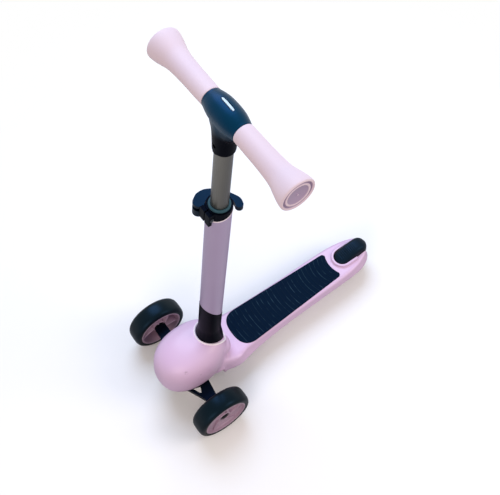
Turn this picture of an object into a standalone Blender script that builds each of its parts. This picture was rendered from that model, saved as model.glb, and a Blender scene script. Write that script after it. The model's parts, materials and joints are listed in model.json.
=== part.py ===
"""Three-wheel kick scooter, modelled as the pieces it comes apart into.

Metres, +Z up. The scooter faces -Y, the rider's left is +X and the ground is at Z = 0.
Sub-parts are placed under empties: "front_datum" on the ground below the front axle,
"stem_axis" along the raked stem, "kingpin_axis" along the inclined steering pin, and one
empty on each wheel's and the brake's pivot.
"""

import math

import bmesh
import bpy

# Overall layout, measured from the front axle
LENGTH_AHEAD = 0.0682
WHEELBASE = 0.4340
REAR_OVERHANG = 0.0420
STEM_RAKE = math.radians(8.77)
STEM_FOOT_Y = 0.03985

# Clearances
SEAT_GAP = 0.0003
SLIDE_GAP = 0.0003

# How far cutting forms run: past the face that they open, and across the whole nose
CUT_PAST = 0.0050
CUT_LONG = 0.0600
NOSE_REACH = 0.1000
NOSE_LOW_Z = 0.0200
NOSE_TOP_Z = 0.2000

# Front wheels
FRONT_WHEEL_RADIUS = 0.0600
FRONT_WHEEL_WIDTH = 0.0390
FRONT_TRACK_OUTSIDE = 0.2824
FRONT_RIM_RADIUS = 0.0476

# Rear wheel
REAR_WHEEL_RADIUS = 0.0380
REAR_WHEEL_WIDTH = 0.0280
REAR_RIM_RADIUS = 0.0265

# Rear slot of the deck, which the wheel and its brake sit in
SLOT_HALF_WIDTH = 0.0195
SLOT_TO_WHEEL = 0.0040
SLOT_FRONT_Y = WHEELBASE - REAR_WHEEL_RADIUS - SLOT_TO_WHEEL
LENGTH_BEHIND = WHEELBASE + REAR_OVERHANG

# Wheel inner parts: standard 8 x 22 x 7 mm bearings on 8 mm bolts
AXLE_RADIUS = 0.0040
BEARING_RADIUS = 0.0110
BEARING_WIDTH = 0.0070
BEARING_SPREAD = 0.0070
RIM_THICKNESS = 0.0030
WEB_THICKNESS = 0.0035
RIM_FACE_SHARE = 0.94
WEB_RIM_SHARE = 0.62
WEB_BOSS_SHARE = 0.46
OUTER_SPOKE_RISE = 0.0028
INNER_SPOKE_SHARE = 0.70
BOSS_WALL = 0.0030
SPOKE_THICKNESS = 0.0030
SPOKE_COUNT = 5
WHEEL_STEPS = 24
AXLE_HEAD_RADIUS = 0.0065
AXLE_HEAD_HEIGHT = 0.0040
AXLE_THREAD_DEPTH = 0.0200
AXLE_COLLAR_WALL = 0.0025
REAR_NUT_HEIGHT = 0.0060
BOLT_END = 0.0010
BEARING_SPACER_WALL = 0.0020
SPOKE_LAP = 0.0010
TYRE_SHAPE = ((0.00, 0.90), (0.20, 1.00), (0.62, 0.92), (0.90, 0.64), (1.00, 0.22))

# Egg-shaped nose dome
DOME_CENTRE_Y = 0.0110
DOME_CENTRE_Z = 0.1015
DOME_HALF_WIDTH = 0.0591
DOME_REACH_FRONT = 0.0778
DOME_REACH_REAR = 0.0762
DOME_RISE = 0.0598
DOME_DROP = 0.0546
DOME_PLAN_POWER = 2.27
DOME_SIDE_POWER = 2.92
DOME_LEAN = 0.13
DOME_CUT_Z = 0.0620
DOME_WALL = 0.0032
DOME_WEB = 0.0030
CENTRE_WEB_FOOT_Z = 0.1060
CROSS_WEB_FOOT_Z = 0.0800

# Deck: half widths and crest heights at distances behind the front axle. The last stations
# are given as distances ahead of the tail, so that they follow the wheelbase.


def from_tail(*stations):
    return tuple((LENGTH_BEHIND - ahead, value) for ahead, value in stations)


DECK_BOTTOM_Z = 0.0450
DECK_TOP_Z = 0.0690
DECK_START_Y = 0.0550
DECK_FLARE_END_Y = 0.1300
DECK_TAIL_LENGTH = 0.0760
DECK_FOOT_WIDTHS = ((0.0275, 0.0500), (0.045, 0.0540), (0.066, 0.0555), (0.080, 0.0590),
                    (0.098, 0.0605), (0.120, 0.0565), (0.157, 0.0515), (0.224, 0.0468),
                    *from_tail((0.157, 0.0450), (0.066, 0.0435), (0.040, 0.0405), (0.020, 0.0325),
                               (0.008, 0.0220), (0.0, 0.0060)))
DECK_SHOULDER_WIDTHS = ((0.0275, 0.0455), (0.045, 0.0485), (0.060, 0.0490), (0.080, 0.0530),
                        (0.098, 0.0540), (0.115, 0.0500), (0.125, 0.0475), (0.253, 0.0430),
                        *from_tail((0.085, 0.0410), (0.046, 0.0360), (0.024, 0.0280),
                                   (0.010, 0.0180), (0.0, 0.0050)))
DECK_CREST_HEIGHTS = ((0.0275, 0.0880), (0.055, 0.0880), (0.068, 0.0850), (0.080, 0.0780),
                      (0.098, 0.0700), (0.114, DECK_TOP_Z), (LENGTH_BEHIND, DECK_TOP_Z))
CHEEK_START_Y = 0.0275
CHEEK_BOTTOM_Z = 0.0621
CHEEK_LAP = 0.0040
DECK_EDGE_RADIUS = 0.0075
DECK_FOOT_CHAMFER = 0.0030
DECK_WALL = 0.0035
DECK_RIB = 0.0030
DECK_POCKETS = 5
DECK_POCKETS_START_Y = 0.1020
DECK_POCKETS_END_Y = SLOT_FRONT_Y - 0.0140

# Foot pad
PAD_FRONT_Y = 0.1140
PAD_CORNER_Y = SLOT_FRONT_Y - 0.0105
PAD_FRONT_HALF_WIDTH = 0.0425
PAD_REAR_HALF_WIDTH = 0.0335
PAD_NOSE_LENGTH = 0.0350
PAD_NOSE_POWER = 2.6
PAD_NOSE_STEPS = 10
PAD_REAR_CORNER = 0.0050
PAD_SEAT_DEPTH = 0.0018
PAD_STAND_PROUD = 0.0010
PAD_TO_BRAKE = 0.0170
PAD_HOLLOW_SHARE = 0.92

# Raised rim of the rear slot, and the axle lugs
RIM_LIP_WIDTH = 0.0050
RIM_LIP_TOP_Z = 0.0750
RIM_LIP_FOOT_Z = 0.0490
RIM_LIP_PAST_AXLE = 0.0040
LUG_RADIUS = 0.0110
LUG_NECK_SHARE = 0.9
LUG_OUTSIDE = 0.0300

# Brake fender over the rear wheel
BRAKE_HALF_WIDTH = 0.0180
BRAKE_FRONT_MARGIN = 0.0015
BRAKE_WHEEL_GAP = 0.0034
BRAKE_EDGE_Z = 0.0640
BRAKE_PIN_RADIUS = 0.0020
BRAKE_PIN_HALF_LENGTH = 0.0218
BRAKE_PIN_FROM_FRONT = 0.0068
BRAKE_PIN_Z = 0.0680
BRAKE_TAIL_MARGIN = 0.0005
BRAKE_SPRING_HALF_LENGTH = 0.0060
BRAKE_SPRING_RADIUS = 0.0032
BRAKE_BACK = ((0.0, 0.0705), (0.006, 0.0748), (0.020, 0.0806), (0.034, 0.0856), (0.048, 0.0882),
              (0.060, 0.0880))
BRAKE_TAIL = ((0.012, 0.0858), (0.004, 0.0808), (0.0, 0.0735))

# Stem, measured along its raked axis from the ground
STEM_CORE_RADIUS = 0.0190
STEM_CORE_WALL = 0.0020
STEM_CORE_FOOT = 0.0640
STEM_SLEEVE_RADIUS = 0.02225
SEAM_HEIGHT = 0.2600
SEAM_SLOPE = math.radians(-42.0)
SOCKET_TOP = 0.3000
SOCKET_FOOT = 0.1180
SOCKET_SKIRT_RADIUS = 0.0315
SOCKET_NECK_RADIUS = 0.0228
SOCKET_FLARE_START = 0.1900
STEM_BOSS_RADIUS = 0.0250
STEM_BOLT_HEIGHT = 0.0920
STEM_BOLT_RADIUS = 0.0030
STEM_BOLT_HEAD_RADIUS = 0.0055
STEM_BOLT_HEAD_HEIGHT = 0.0035
STEM_NUT_HEIGHT = 0.0050
STEM_BOSS_RISE = 0.0600
COLLAR_SEAM_HEIGHT = 0.5880
COLLAR_SEAM_SLOPE = math.radians(20.0)
COLLAR_TOP = 0.6010
COLLAR_RADIUS = 0.0228
BUSH_FLANGE_HEIGHT = 0.0042
BUSH_FLANGE_RADIUS = 0.0178
BUSH_DEPTH = 0.0350
BUSH_LIP = 0.0016

# Clamp ears, bolt and cam lever, in the stem's own frame
EAR_FOOT = 0.5735
EAR_SLIT = 0.0024
EAR_THICKNESS = 0.0120
EAR_REACH = 0.0292
EAR_BELOW_TOP = 0.0010
EAR_STEP = 0.0005
EAR_ROOT_DEPTH = 0.0040
CLAMP_BOLT_HEIGHT = 0.5865
CLAMP_BOLT_REACH = 0.0232
CLAMP_BOLT_RADIUS = 0.0022
CLAMP_NUT_RADIUS = 0.0042
CLAMP_NUT_THICKNESS = 0.0045
CLAMP_NUT_SINK = 0.0040
CLAMP_BOLT_END = 0.0010
CLAMP_PIN_SINK = 0.0010
CAM_RADIUS = 0.0105
CAM_TO_EAR = 0.0008
CAM_FOOT = 0.5680
CAM_TOP = 0.5960
CAM_SLOT_HEIGHT = 0.0076
LEVER_HEAD_RADIUS = 0.0120
LEVER_HEAD_SHIFT = (-0.0040, 0.0085)
LEVER_TO_COLLAR = 0.0014
CLAMP_EYE_RADIUS = 0.0050
LEVER_FOOT = 0.5765
LEVER_TOP = 0.5955
LEVER_TIP_ANGLE = 57.0
LEVER_ROOT_ANGLE = 205.0
LEVER_OUTER_RADII = ((57.0, 0.0385), (80.0, 0.0380), (102.0, 0.0340), (120.0, 0.0326), (150.0, 0.0336),
                     (177.0, 0.0371), (205.0, 0.0395))
LEVER_INNER_RADII = ((57.0, 0.0272), (80.0, 0.0264), (102.0, 0.0252), (120.0, 0.0248), (205.0, 0.0248))

# Sliding post and handlebar
POST_RADIUS = 0.01525
POST_WALL = 0.0018
POST_FOOT = 0.2960
POST_TO_BAR = 0.0020
GLIDE_PLUG_LENGTH = 0.0200
GLIDE_RIM_HEIGHT = 0.0060
BAR_HEIGHT = 0.8169
BAR_HALF_LENGTH = 0.1665
BAR_CORE_RADIUS = 0.0110
BAR_CORE_WALL = 0.0016
HUB_HALF_LENGTH = 0.0390
HUB_BELLY_RADIUS = 0.0232
HUB_END_RADIUS = 0.0174
HUB_NECK_LENGTH = 0.0749
HUB_NECK_RADIUS = 0.0187
HUB_NECK = ((0.0225, 0.0), (0.0220, 0.022), (0.0200, 0.045), (HUB_NECK_RADIUS, 0.068))
HUB_NECK_FOOT = BAR_HEIGHT - HUB_NECK_LENGTH
HUB_SWELL = ((1.0, 0.0), (0.80, 0.34), (0.50, 0.80), (0.25, 0.97), (0.0, 1.0))
HUB_SADDLE = (0.0330, 0.0210, 0.0330)
HUB_SADDLE_DROP = 0.0130
HUB_NECK_CHAMFER = 0.0010
HUB_SCREW_RADIUS = 0.0020
HUB_SCREW_ABOVE_NECK = 0.0180
HUB_SCREW_SINK = 0.0020
HUB_SCREW_ROOM_RADIUS = 0.0040
HUB_SCREW_HEAD_RADIUS = 0.0036
HUB_SCREW_HEAD_HEIGHT = 0.0024
HUB_SCREW_TIP = 0.0100
BADGE_HALF_LENGTH = 0.0115
BADGE_HALF_WIDTH = 0.0032
BADGE_THICKNESS = 0.0015
BADGE_SINK = 0.0022
BADGE_TILT = math.radians(-1.0)
GRIP_END_RADIUS = 0.0290
GRIP_WAIST_RADIUS = 0.0182
GRIP_END_WALL = 0.0070
GRIP_DISH_DEPTH = 0.0026
GRIP_DISH_RADIUS = 0.0185
GRIP_LIP_RADIUS = 0.0225
GRIP_EDGE = ((0.0016, 0.0022), (0.0, 0.0060))
GRIP_FLARE = ((0.0140, 0.86), (0.0250, 0.60), (0.0370, 0.29), (0.0520, 0.12), (0.0800, 0.0))

# Lean-steering truck, its inclined pin and the parts on the pin
KINGPIN_TILT = math.radians(45.0)
KINGPIN_BASE_Y = 0.0060
KINGPIN_BASE_Z = 0.0660
KINGPIN_RADIUS = 0.0040
KINGPIN_LOW = -0.0180
KINGPIN_HIGH = 0.0400
TRUCK_PLATE_THICKNESS = 0.0140
TRUCK_BOSS_RADIUS = 0.0120
TRUCK_BOSS_LOW = -0.0070
TRUCK_BOSS_HIGH = 0.0180
BOSS_PROUD = 0.0005
TRUCK_ARM_HALF_WIDTH = 0.0125
TRUCK_FRONT_EDGE = ((0.0, -0.0360), (0.0340, -0.0350), (0.0460, -0.0290), (0.0660, -0.0200),
                    (0.0840, -TRUCK_ARM_HALF_WIDTH))
TRUCK_REAR_EDGE = ((0.0860, TRUCK_ARM_HALF_WIDTH), (0.0500, 0.0170), (0.0, 0.0170))
TRUCK_WINDOW = ((0.0450, -0.0225), (0.0520, -0.0050), (0.0560, -0.0045), (0.0680, -0.0110),
                (0.0660, -0.0135))
TRUCK_ARM_END_TO_HUB = 0.0034
TRUCK_BOSS_ROOM = 0.0020
LOWER_BUSH_LENGTH = 0.0040
UPPER_BUSH_LENGTH = 0.0090
LOWER_BUSH_STEP = 0.0020
PIN_BOSS_LENGTH = 0.0150
TRAY_FLOOR_Z = 0.0430
TRAY_WALL = 0.0030
TRAY_TAPER = 0.93
TRAY_TAPER_TOP_Z = 0.0800
TRAY_PIN_BOSS_WALL = 0.0050
TRAY_PIN_BOSS_FLOOR = 0.0030
ARM_WINDOW_FRONT = 0.0450
ARM_WINDOW_REAR = 0.0260
ARM_WINDOW_TOP_Z = 0.0770
BRACKET_PLATE_Z = 0.0920
BRACKET_PLATE_THICKNESS = 0.0060
SCREW_RADIUS = 0.0016
SCREW_HEAD_RADIUS = 0.0034
SCREW_HEAD_HEIGHT = 0.0024
SCREW_HEAD_CHAMFER = 0.0008
SCREW_TIP_ROOM = 0.0005
TRAY_SCREW_TIP_Z = 0.0760
BRACKET_SCREW_TIP_Z = 0.1120
SCREW_POST_RADIUS = 0.0045
TRAY_SCREW_SPOTS = ((0.022, -0.0465), (0.034, 0.0420))
BRACKET_SCREW_SPOT = (0.019, -0.0360)
BRACKET_EDGE = 0.0048
BRACKET_SIDE = 0.0070
BRACKET_REAR_Y = -0.0080
BRACKET_BOSS_WALL = 0.0070

# Sizes that follow from the ones above
FRONT_AXLE_Z = FRONT_WHEEL_RADIUS
REAR_AXLE_Z = REAR_WHEEL_RADIUS
FRONT_WHEEL_X = FRONT_TRACK_OUTSIDE / 2 - FRONT_WHEEL_WIDTH / 2
BRAKE_FRONT_Y = SLOT_FRONT_Y + BRAKE_FRONT_MARGIN
BRAKE_PIN_Y = BRAKE_FRONT_Y + BRAKE_PIN_FROM_FRONT
CLAMP_PIVOT_X = -(EAR_SLIT / 2 + EAR_THICKNESS + CAM_TO_EAR + CAM_RADIUS)
PAD_TOP_Z = DECK_TOP_Z + PAD_STAND_PROUD
KINGPIN_LOWER_SEAT = TRUCK_BOSS_LOW - LOWER_BUSH_LENGTH - 2 * SEAT_GAP
KINGPIN_UPPER_SEAT = TRUCK_BOSS_HIGH + UPPER_BUSH_LENGTH + 2 * SEAT_GAP
HUB_FACE = BEARING_SPREAD / 2 + BEARING_WIDTH


def remove_startup_objects():
    for item in list(bpy.data.objects):
        bpy.data.objects.remove(item, do_unlink=True)


def new_collection(name):
    collection = bpy.data.collections.new(name)
    bpy.context.scene.collection.children.link(collection)
    return collection


remove_startup_objects()
PARTS = new_collection("kick_scooter")
CUTTERS = new_collection("kick_scooter_cutters")


def empty(name, location=(0, 0, 0), rotation=(0, 0, 0), parent=None):
    item = bpy.data.objects.new(name, None)
    item.empty_display_size = 0.03
    item.location = location
    item.rotation_euler = rotation
    item.parent = parent
    PARTS.objects.link(item)
    return item


DATUM = empty("front_datum", (0, (LENGTH_AHEAD - LENGTH_BEHIND) / 2, 0))
STEM = empty("stem_axis", (0, STEM_FOOT_Y, 0), (-STEM_RAKE, 0, 0), DATUM)
KINGPIN = empty("kingpin_axis", (0, KINGPIN_BASE_Y, KINGPIN_BASE_Z),
                (math.pi / 2 - KINGPIN_TILT, 0, 0), DATUM)
REAR_AXLE = empty("rear_axle_axis", (0, WHEELBASE, REAR_AXLE_Z), (0, math.pi / 2, 0), DATUM)
BRAKE_PIVOT = empty("brake_pivot", (0, BRAKE_PIN_Y, BRAKE_PIN_Z), (0, math.pi / 2, 0), DATUM)
LEVER_PIVOT = empty("lever_pivot", (CLAMP_PIVOT_X, -CLAMP_BOLT_REACH, 0), parent=STEM)


def material(name, colour, roughness, metallic=0.0):
    made = bpy.data.materials.get(name)
    if made:
        return made
    made = bpy.data.materials.new(name)
    made.use_nodes = True
    made.diffuse_color = (*colour, 1.0)
    shader = made.node_tree.nodes["Principled BSDF"]
    shader.inputs["Base Color"].default_value = (*colour, 1.0)
    shader.inputs["Roughness"].default_value = roughness
    shader.inputs["Metallic"].default_value = metallic
    return made


def body_plastic():
    return material("lilac_pink_plastic", (0.70, 0.47, 0.62), 0.45)


def grip_rubber():
    return material("pale_pink_rubber", (0.80, 0.58, 0.66), 0.6)


def wheel_plastic():
    return material("dusty_pink_plastic", (0.48, 0.28, 0.34), 0.5)


def black_plastic():
    return material("black_plastic", (0.012, 0.014, 0.022), 0.45)


def pad_rubber():
    return material("black_pad_rubber", (0.010, 0.018, 0.030), 0.7)


def tyre_rubber():
    return material("black_tyre_rubber", (0.012, 0.016, 0.020), 0.5)


def bush_plastic():
    return material("grey_bush_plastic", (0.16, 0.24, 0.26), 0.5)


def aluminium():
    return material("satin_aluminium", (0.42, 0.41, 0.39), 0.35, 1.0)


def steel():
    return material("zinc_steel", (0.55, 0.56, 0.58), 0.3, 1.0)


def dark_steel():
    return material("black_oxide_steel", (0.045, 0.045, 0.05), 0.4, 1.0)


def add_object(name, mesh, parent, location, rotation, look):
    """Link a mesh object as a finished sub-part, or as a cutter where it has no material."""
    item = bpy.data.objects.new(name, mesh)
    item.parent = parent
    item.location = location
    item.rotation_euler = rotation
    if look is None:
        CUTTERS.objects.link(item)
        item.hide_render = True
        item.display_type = "WIRE"
    else:
        PARTS.objects.link(item)
        mesh.materials.append(look)
    return item


def turned(name, profile, parent, look=None, closed=True, steps=24, location=(0, 0, 0),
           rotation=(0, 0, 0)):
    """Turn (radius, height) points about local Z; the outer side runs top to bottom."""
    mesh = bpy.data.meshes.new(name)
    points = [(radius, 0.0, height) for radius, height in profile]
    links = [(i, i + 1) for i in range(len(points) - 1)]
    if closed:
        links.append((len(points) - 1, 0))
    mesh.from_pydata(points, links, [])
    item = add_object(name, mesh, parent, location, rotation, look)
    screw = item.modifiers.new("turn", "SCREW")
    screw.steps = steps
    screw.render_steps = steps
    screw.use_merge_vertices = True
    screw.merge_threshold = 0.00001
    screw.use_smooth_shade = True
    return item


def rod(name, radius, low, high, parent, look=None, steps=20, **place):
    profile = [(0, high), (radius, high), (radius, low), (0, low)]
    return turned(name, profile, parent, look, closed=False, steps=steps, **place)


def ring(name, outer, inner, low, high, parent, look=None, steps=24, **place):
    profile = [(inner, high), (outer, high), (outer, low), (inner, low)]
    return turned(name, profile, parent, look, steps=steps, **place)


def hex_nut(name, radius, bore, low, high, parent, **place):
    nut = rod(name, radius, low, high, parent, steel(), steps=6, **place)
    reach = 0.002
    return cut(nut, rod(name + "_bore", bore, low - reach, high + reach, parent, steps=16, **place))


def box(name, low, high, parent, look=None, rotation=(0, 0, 0), location=(0, 0, 0)):
    """A block between two corners given in the parent's frame."""
    mesh = bpy.data.meshes.new(name)
    bm = bmesh.new()
    bmesh.ops.create_cube(bm, size=1.0)
    size = [high[i] - low[i] for i in range(3)]
    centre = [(high[i] + low[i]) / 2 for i in range(3)]
    bmesh.ops.scale(bm, vec=size, verts=bm.verts)
    bmesh.ops.translate(bm, vec=centre, verts=bm.verts)
    bm.to_mesh(mesh)
    bm.free()
    return add_object(name, mesh, parent, location, rotation, look)


def plate(name, outline, low, high, parent, look=None, holes=(), rotation=(0, 0, 0), location=(0, 0, 0)):
    """Extrude a closed (x, y) outline, less its holes, between two heights."""
    curve = bpy.data.curves.new(name, "CURVE")
    curve.dimensions = "2D"
    curve.fill_mode = "BOTH"
    curve.extrude = (high - low) / 2
    for loop in (outline, *holes):
        spline = curve.splines.new("POLY")
        spline.points.add(len(loop) - 1)
        for point, (x, y) in zip(spline.points, loop):
            point.co = (x, y, 0, 1)
        spline.use_cyclic_u = True
    guide = bpy.data.objects.new(name + "_outline", curve)
    PARTS.objects.link(guide)
    bpy.context.view_layer.update()
    evaluated = guide.evaluated_get(bpy.context.evaluated_depsgraph_get())
    mesh = bpy.data.meshes.new_from_object(evaluated)
    bpy.data.objects.remove(guide)
    mesh.name = name
    bm = bmesh.new()
    bm.from_mesh(mesh)
    bmesh.ops.remove_doubles(bm, verts=bm.verts, dist=0.00001)
    bmesh.ops.translate(bm, vec=(0, 0, (low + high) / 2), verts=bm.verts)
    bm.to_mesh(mesh)
    bm.free()
    mesh.materials.clear()
    return add_object(name, mesh, parent, location, rotation, look)


def loft(name, rings, parent, look=None, location=(0, 0, 0), rotation=(0, 0, 0)):
    """Skin between unlike closed rings of the same number of points, with both ends filled."""
    mesh = bpy.data.meshes.new(name)
    bm = bmesh.new()
    rows = [[bm.verts.new(point) for point in points] for points in rings]
    count = len(rows[0])
    for near, far in zip(rows, rows[1:]):
        for i in range(count):
            j = (i + 1) % count
            bm.faces.new((near[i], near[j], far[j], far[i]))
    bm.faces.new(list(reversed(rows[0])))
    bm.faces.new(rows[-1])
    bmesh.ops.recalc_face_normals(bm, faces=bm.faces)
    bm.to_mesh(mesh)
    bm.free()
    return add_object(name, mesh, parent, location, rotation, look)


def combine(target, operation, *others):
    for other in others:
        modifier = target.modifiers.new(other.name, "BOOLEAN")
        modifier.operation = operation
        modifier.object = other
    return target


def cut(target, *others):
    return combine(target, "DIFFERENCE", *others)


def join(target, *others):
    return combine(target, "UNION", *others)


def keep_inside(target, *others):
    return combine(target, "INTERSECT", *others)


def smooth(item, angle=math.radians(35)):
    mesh = item.data
    mesh.shade_smooth()
    mesh.set_sharp_from_angle(angle=angle)
    return item


def along(stations, position):
    """Smooth value at a position, through hand-set (position, value) stations."""
    last = len(stations) - 1
    if position <= stations[0][0]:
        return stations[0][1]
    if position >= stations[last][0]:
        return stations[last][1]
    i = max(k for k in range(last) if stations[k][0] <= position)

    def slope(k):
        before = stations[max(k - 1, 0)]
        after = stations[min(k + 1, last)]
        return (after[1] - before[1]) / (after[0] - before[0])

    (x0, v0), (x1, v1) = stations[i], stations[i + 1]
    span = x1 - x0
    t = (position - x0) / span
    start = (2 * t**3 - 3 * t**2 + 1) * v0 + (t**3 - 2 * t**2 + t) * span * slope(i)
    end = (3 * t**2 - 2 * t**3) * v1 + (t**3 - t**2) * span * slope(i + 1)
    return start + end


def arc(centre_x, centre_y, radius, start, end, steps):
    points = []
    for i in range(steps + 1):
        angle = start + (end - start) * i / steps
        points.append((centre_x + radius * math.cos(angle), centre_y + radius * math.sin(angle)))
    return points


# Nose dome


def signed_power(value, power):
    return math.copysign(abs(value) ** power, value)


def dome_form(name, inset, segments, rings):
    """Egg-shaped form, drawn in by a wall thickness, from a sphere's directions."""
    mesh = bpy.data.meshes.new(name)
    bm = bmesh.new()
    bmesh.ops.create_uvsphere(bm, u_segments=segments, v_segments=rings, radius=1.0)
    for vert in bm.verts:
        turn = math.atan2(vert.co.y, vert.co.x)
        rise = math.asin(max(-1.0, min(1.0, vert.co.z)))
        flat = abs(math.cos(rise)) ** (2 / DOME_SIDE_POWER)
        up = signed_power(math.sin(rise), 2 / DOME_SIDE_POWER)
        reach = DOME_REACH_FRONT if math.sin(turn) < 0 else DOME_REACH_REAR
        height = (DOME_RISE if up > 0 else DOME_DROP) - inset
        x = (DOME_HALF_WIDTH - inset) * signed_power(math.cos(turn), 2 / DOME_PLAN_POWER) * flat
        y = (reach - inset) * signed_power(math.sin(turn), 2 / DOME_PLAN_POWER) * flat
        vert.co = (x, DOME_CENTRE_Y + y + DOME_LEAN * height * up, DOME_CENTRE_Z + height * up)
    bmesh.ops.remove_doubles(bm, verts=bm.verts, dist=0.00001)
    bm.to_mesh(mesh)
    bm.free()
    return add_object(name, mesh, DATUM, (0, 0, 0), (0, 0, 0), None)


def dome_section(height, scale, inset, count):
    """The dome's outline at a height, as (x, y) points."""
    drop = abs(height - DOME_CENTRE_Z) / DOME_DROP
    shrink = (1 - drop**DOME_SIDE_POWER) ** (1 / DOME_SIDE_POWER) * scale
    centre = DOME_CENTRE_Y + DOME_LEAN * (height - DOME_CENTRE_Z)
    points = []
    for i in range(count):
        turn = 2 * math.pi * i / count
        reach = DOME_REACH_FRONT if math.sin(turn) < 0 else DOME_REACH_REAR
        x = (DOME_HALF_WIDTH * shrink - inset) * signed_power(math.cos(turn), 2 / DOME_PLAN_POWER)
        y = (reach * shrink - inset) * signed_power(math.sin(turn), 2 / DOME_PLAN_POWER)
        points.append((x, centre + y))
    return points


# Deck body


def deck_ring(position, inset, bottom):
    """Cross-section of the deck at a distance behind the front axle."""
    foot = along(DECK_FOOT_WIDTHS, position) - inset
    shoulder = along(DECK_SHOULDER_WIDTHS, position) - inset
    crest = along(DECK_CREST_HEIGHTS, position) - inset
    radius = min(DECK_EDGE_RADIUS, shoulder * 0.8)
    lip = min(DECK_FOOT_CHAMFER, foot * 0.3)
    half = [(0, bottom), (foot - lip, bottom), (foot, bottom + lip)]
    half += arc(shoulder - radius, crest - radius, radius, 0, math.pi / 2, 4)
    half.append((0, crest))
    left = [(-x, z) for x, z in reversed(half[1:-1])]
    return [(x, position, z) for x, z in half + left]


def spaced(start, end, steps):
    return [start + (end - start) * i / steps for i in range(steps + 1)]


def deck_body(look):
    flank_end = LENGTH_BEHIND - DECK_TAIL_LENGTH
    positions = spaced(DECK_START_Y, DECK_FLARE_END_Y, 7)[:-1] + spaced(DECK_FLARE_END_Y, flank_end, 5)[:-1]
    positions += spaced(flank_end, LENGTH_BEHIND, 8)
    rings = [deck_ring(position, 0, DECK_BOTTOM_Z) for position in positions]
    return loft("deck_shell", rings, DATUM, look)


def cheeks():
    """Fairing that carries the dome's flanks back into the deck's shoulders."""
    positions = spaced(CHEEK_START_Y, DECK_START_Y + CHEEK_LAP, 4)
    rings = [deck_ring(position, 0, CHEEK_BOTTOM_Z) for position in positions]
    return loft("cheek_form", rings, DATUM)


def deck_pocket(index, start, end):
    rings = []
    for position in spaced(start, end, 3):
        ring_points = deck_ring(position, DECK_WALL, DECK_BOTTOM_Z - CUT_PAST)
        ceiling = DECK_TOP_Z - PAD_SEAT_DEPTH - DECK_WALL
        rings.append([(x, y, min(z, ceiling)) for x, y, z in ring_points])
    return loft(f"deck_pocket_{index}", rings, DATUM)


def stadium(half_width, front, rear, steps=10):
    """Outline with a round front end and a square rear end."""
    centre = front + half_width
    points = arc(0, centre, half_width, math.pi, 2 * math.pi, steps)
    return points + [(half_width, rear), (-half_width, rear)]


def capsule(half_width, front, rear, steps=10):
    start = arc(0, front + half_width, half_width, math.pi, 2 * math.pi, steps)
    return start + arc(0, rear - half_width, half_width, 0, math.pi, steps)


def pad_outline(inset):
    """Round front corners, straight tapering sides and a hollow rear edge round the brake."""
    front = PAD_FRONT_Y + inset
    nose_end = PAD_FRONT_Y + PAD_NOSE_LENGTH
    wide = PAD_FRONT_HALF_WIDTH - inset
    narrow = PAD_REAR_HALF_WIDTH - inset
    half = []
    for i in range(PAD_NOSE_STEPS + 1):
        turn = math.pi / 2 * i / PAD_NOSE_STEPS
        across = math.sin(turn) ** (2 / PAD_NOSE_POWER)
        ahead = math.cos(turn) ** (2 / PAD_NOSE_POWER)
        half.append((wide * across, nose_end - (nose_end - front) * ahead))
    small = PAD_REAR_CORNER
    rear = PAD_CORNER_Y - inset
    half += arc(narrow - small, rear - small, small, 0, math.pi / 2, 3)
    centre = BRAKE_FRONT_Y + BRAKE_HALF_WIDTH
    hollow = BRAKE_HALF_WIDTH + PAD_TO_BRAKE + inset
    opening = math.asin(min(0.95, (narrow - small) / hollow))
    hollow_edge = arc(0, centre, hollow, -math.pi / 2 + opening * PAD_HOLLOW_SHARE, -math.pi / 2, 6)
    half += [(x, min(y, rear)) for x, y in hollow_edge]
    return half + [(-x, y) for x, y in reversed(half[1:-1])]


def dome_cavity():
    """Hollow of the nose, less the stem boss, the webs and the screw posts left standing in it."""
    cavity = dome_form("dome_cavity", DOME_WALL, 16, 10)
    keep_inside(cavity, box("cavity_limit", (-NOSE_REACH, -NOSE_REACH, NOSE_LOW_Z),
                            (NOSE_REACH, DECK_START_Y + 2 * DOME_WEB, NOSE_TOP_Z), DATUM))
    web = DOME_WEB
    solids = [
        rod("stem_boss_form", STEM_BOSS_RADIUS, STEM_CORE_FOOT, SOCKET_FOOT + STEM_BOSS_RISE, STEM),
        box("centre_web", (-web / 2, -NOSE_REACH, CENTRE_WEB_FOOT_Z), (web / 2, STEM_FOOT_Y, NOSE_TOP_Z),
            DATUM),
        box("cross_web", (-NOSE_REACH, STEM_FOOT_Y, CROSS_WEB_FOOT_Z),
            (NOSE_REACH, STEM_FOOT_Y + web, NOSE_TOP_Z), DATUM),
    ]
    for index, (x, y) in enumerate(TRAY_SCREW_SPOTS):
        for side in (-1, 1):
            solids.append(rod(f"tray_post_{index}_{side}", SCREW_POST_RADIUS, DOME_CUT_Z - CUT_PAST,
                              NOSE_TOP_Z, DATUM, steps=10, location=(side * x, y, 0)))
    x, y = BRACKET_SCREW_SPOT
    low = BRACKET_PLATE_Z + BRACKET_PLATE_THICKNESS + SEAT_GAP
    for side in (-1, 1):
        solids.append(rod(f"bracket_post_{side}", SCREW_POST_RADIUS, low, NOSE_TOP_Z, DATUM, steps=10,
                          location=(side * x, y, 0)))
    return cut(cavity, *solids)


def socket_profile(gap):
    """Outer side of the black socket at the foot of the stem, top to bottom."""
    flare = [(SOCKET_NECK_RADIUS + gap, SOCKET_TOP), (SOCKET_NECK_RADIUS + gap, SOCKET_FLARE_START)]
    steps = 6
    for i in range(1, steps + 1):
        share = i / steps
        height = SOCKET_FLARE_START + (SOCKET_FOOT - gap - SOCKET_FLARE_START) * share
        swell = (SOCKET_SKIRT_RADIUS - SOCKET_NECK_RADIUS) * math.sin(share * math.pi / 2) ** 1.6
        flare.append((SOCKET_NECK_RADIUS + gap + swell, height))
    return flare


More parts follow.
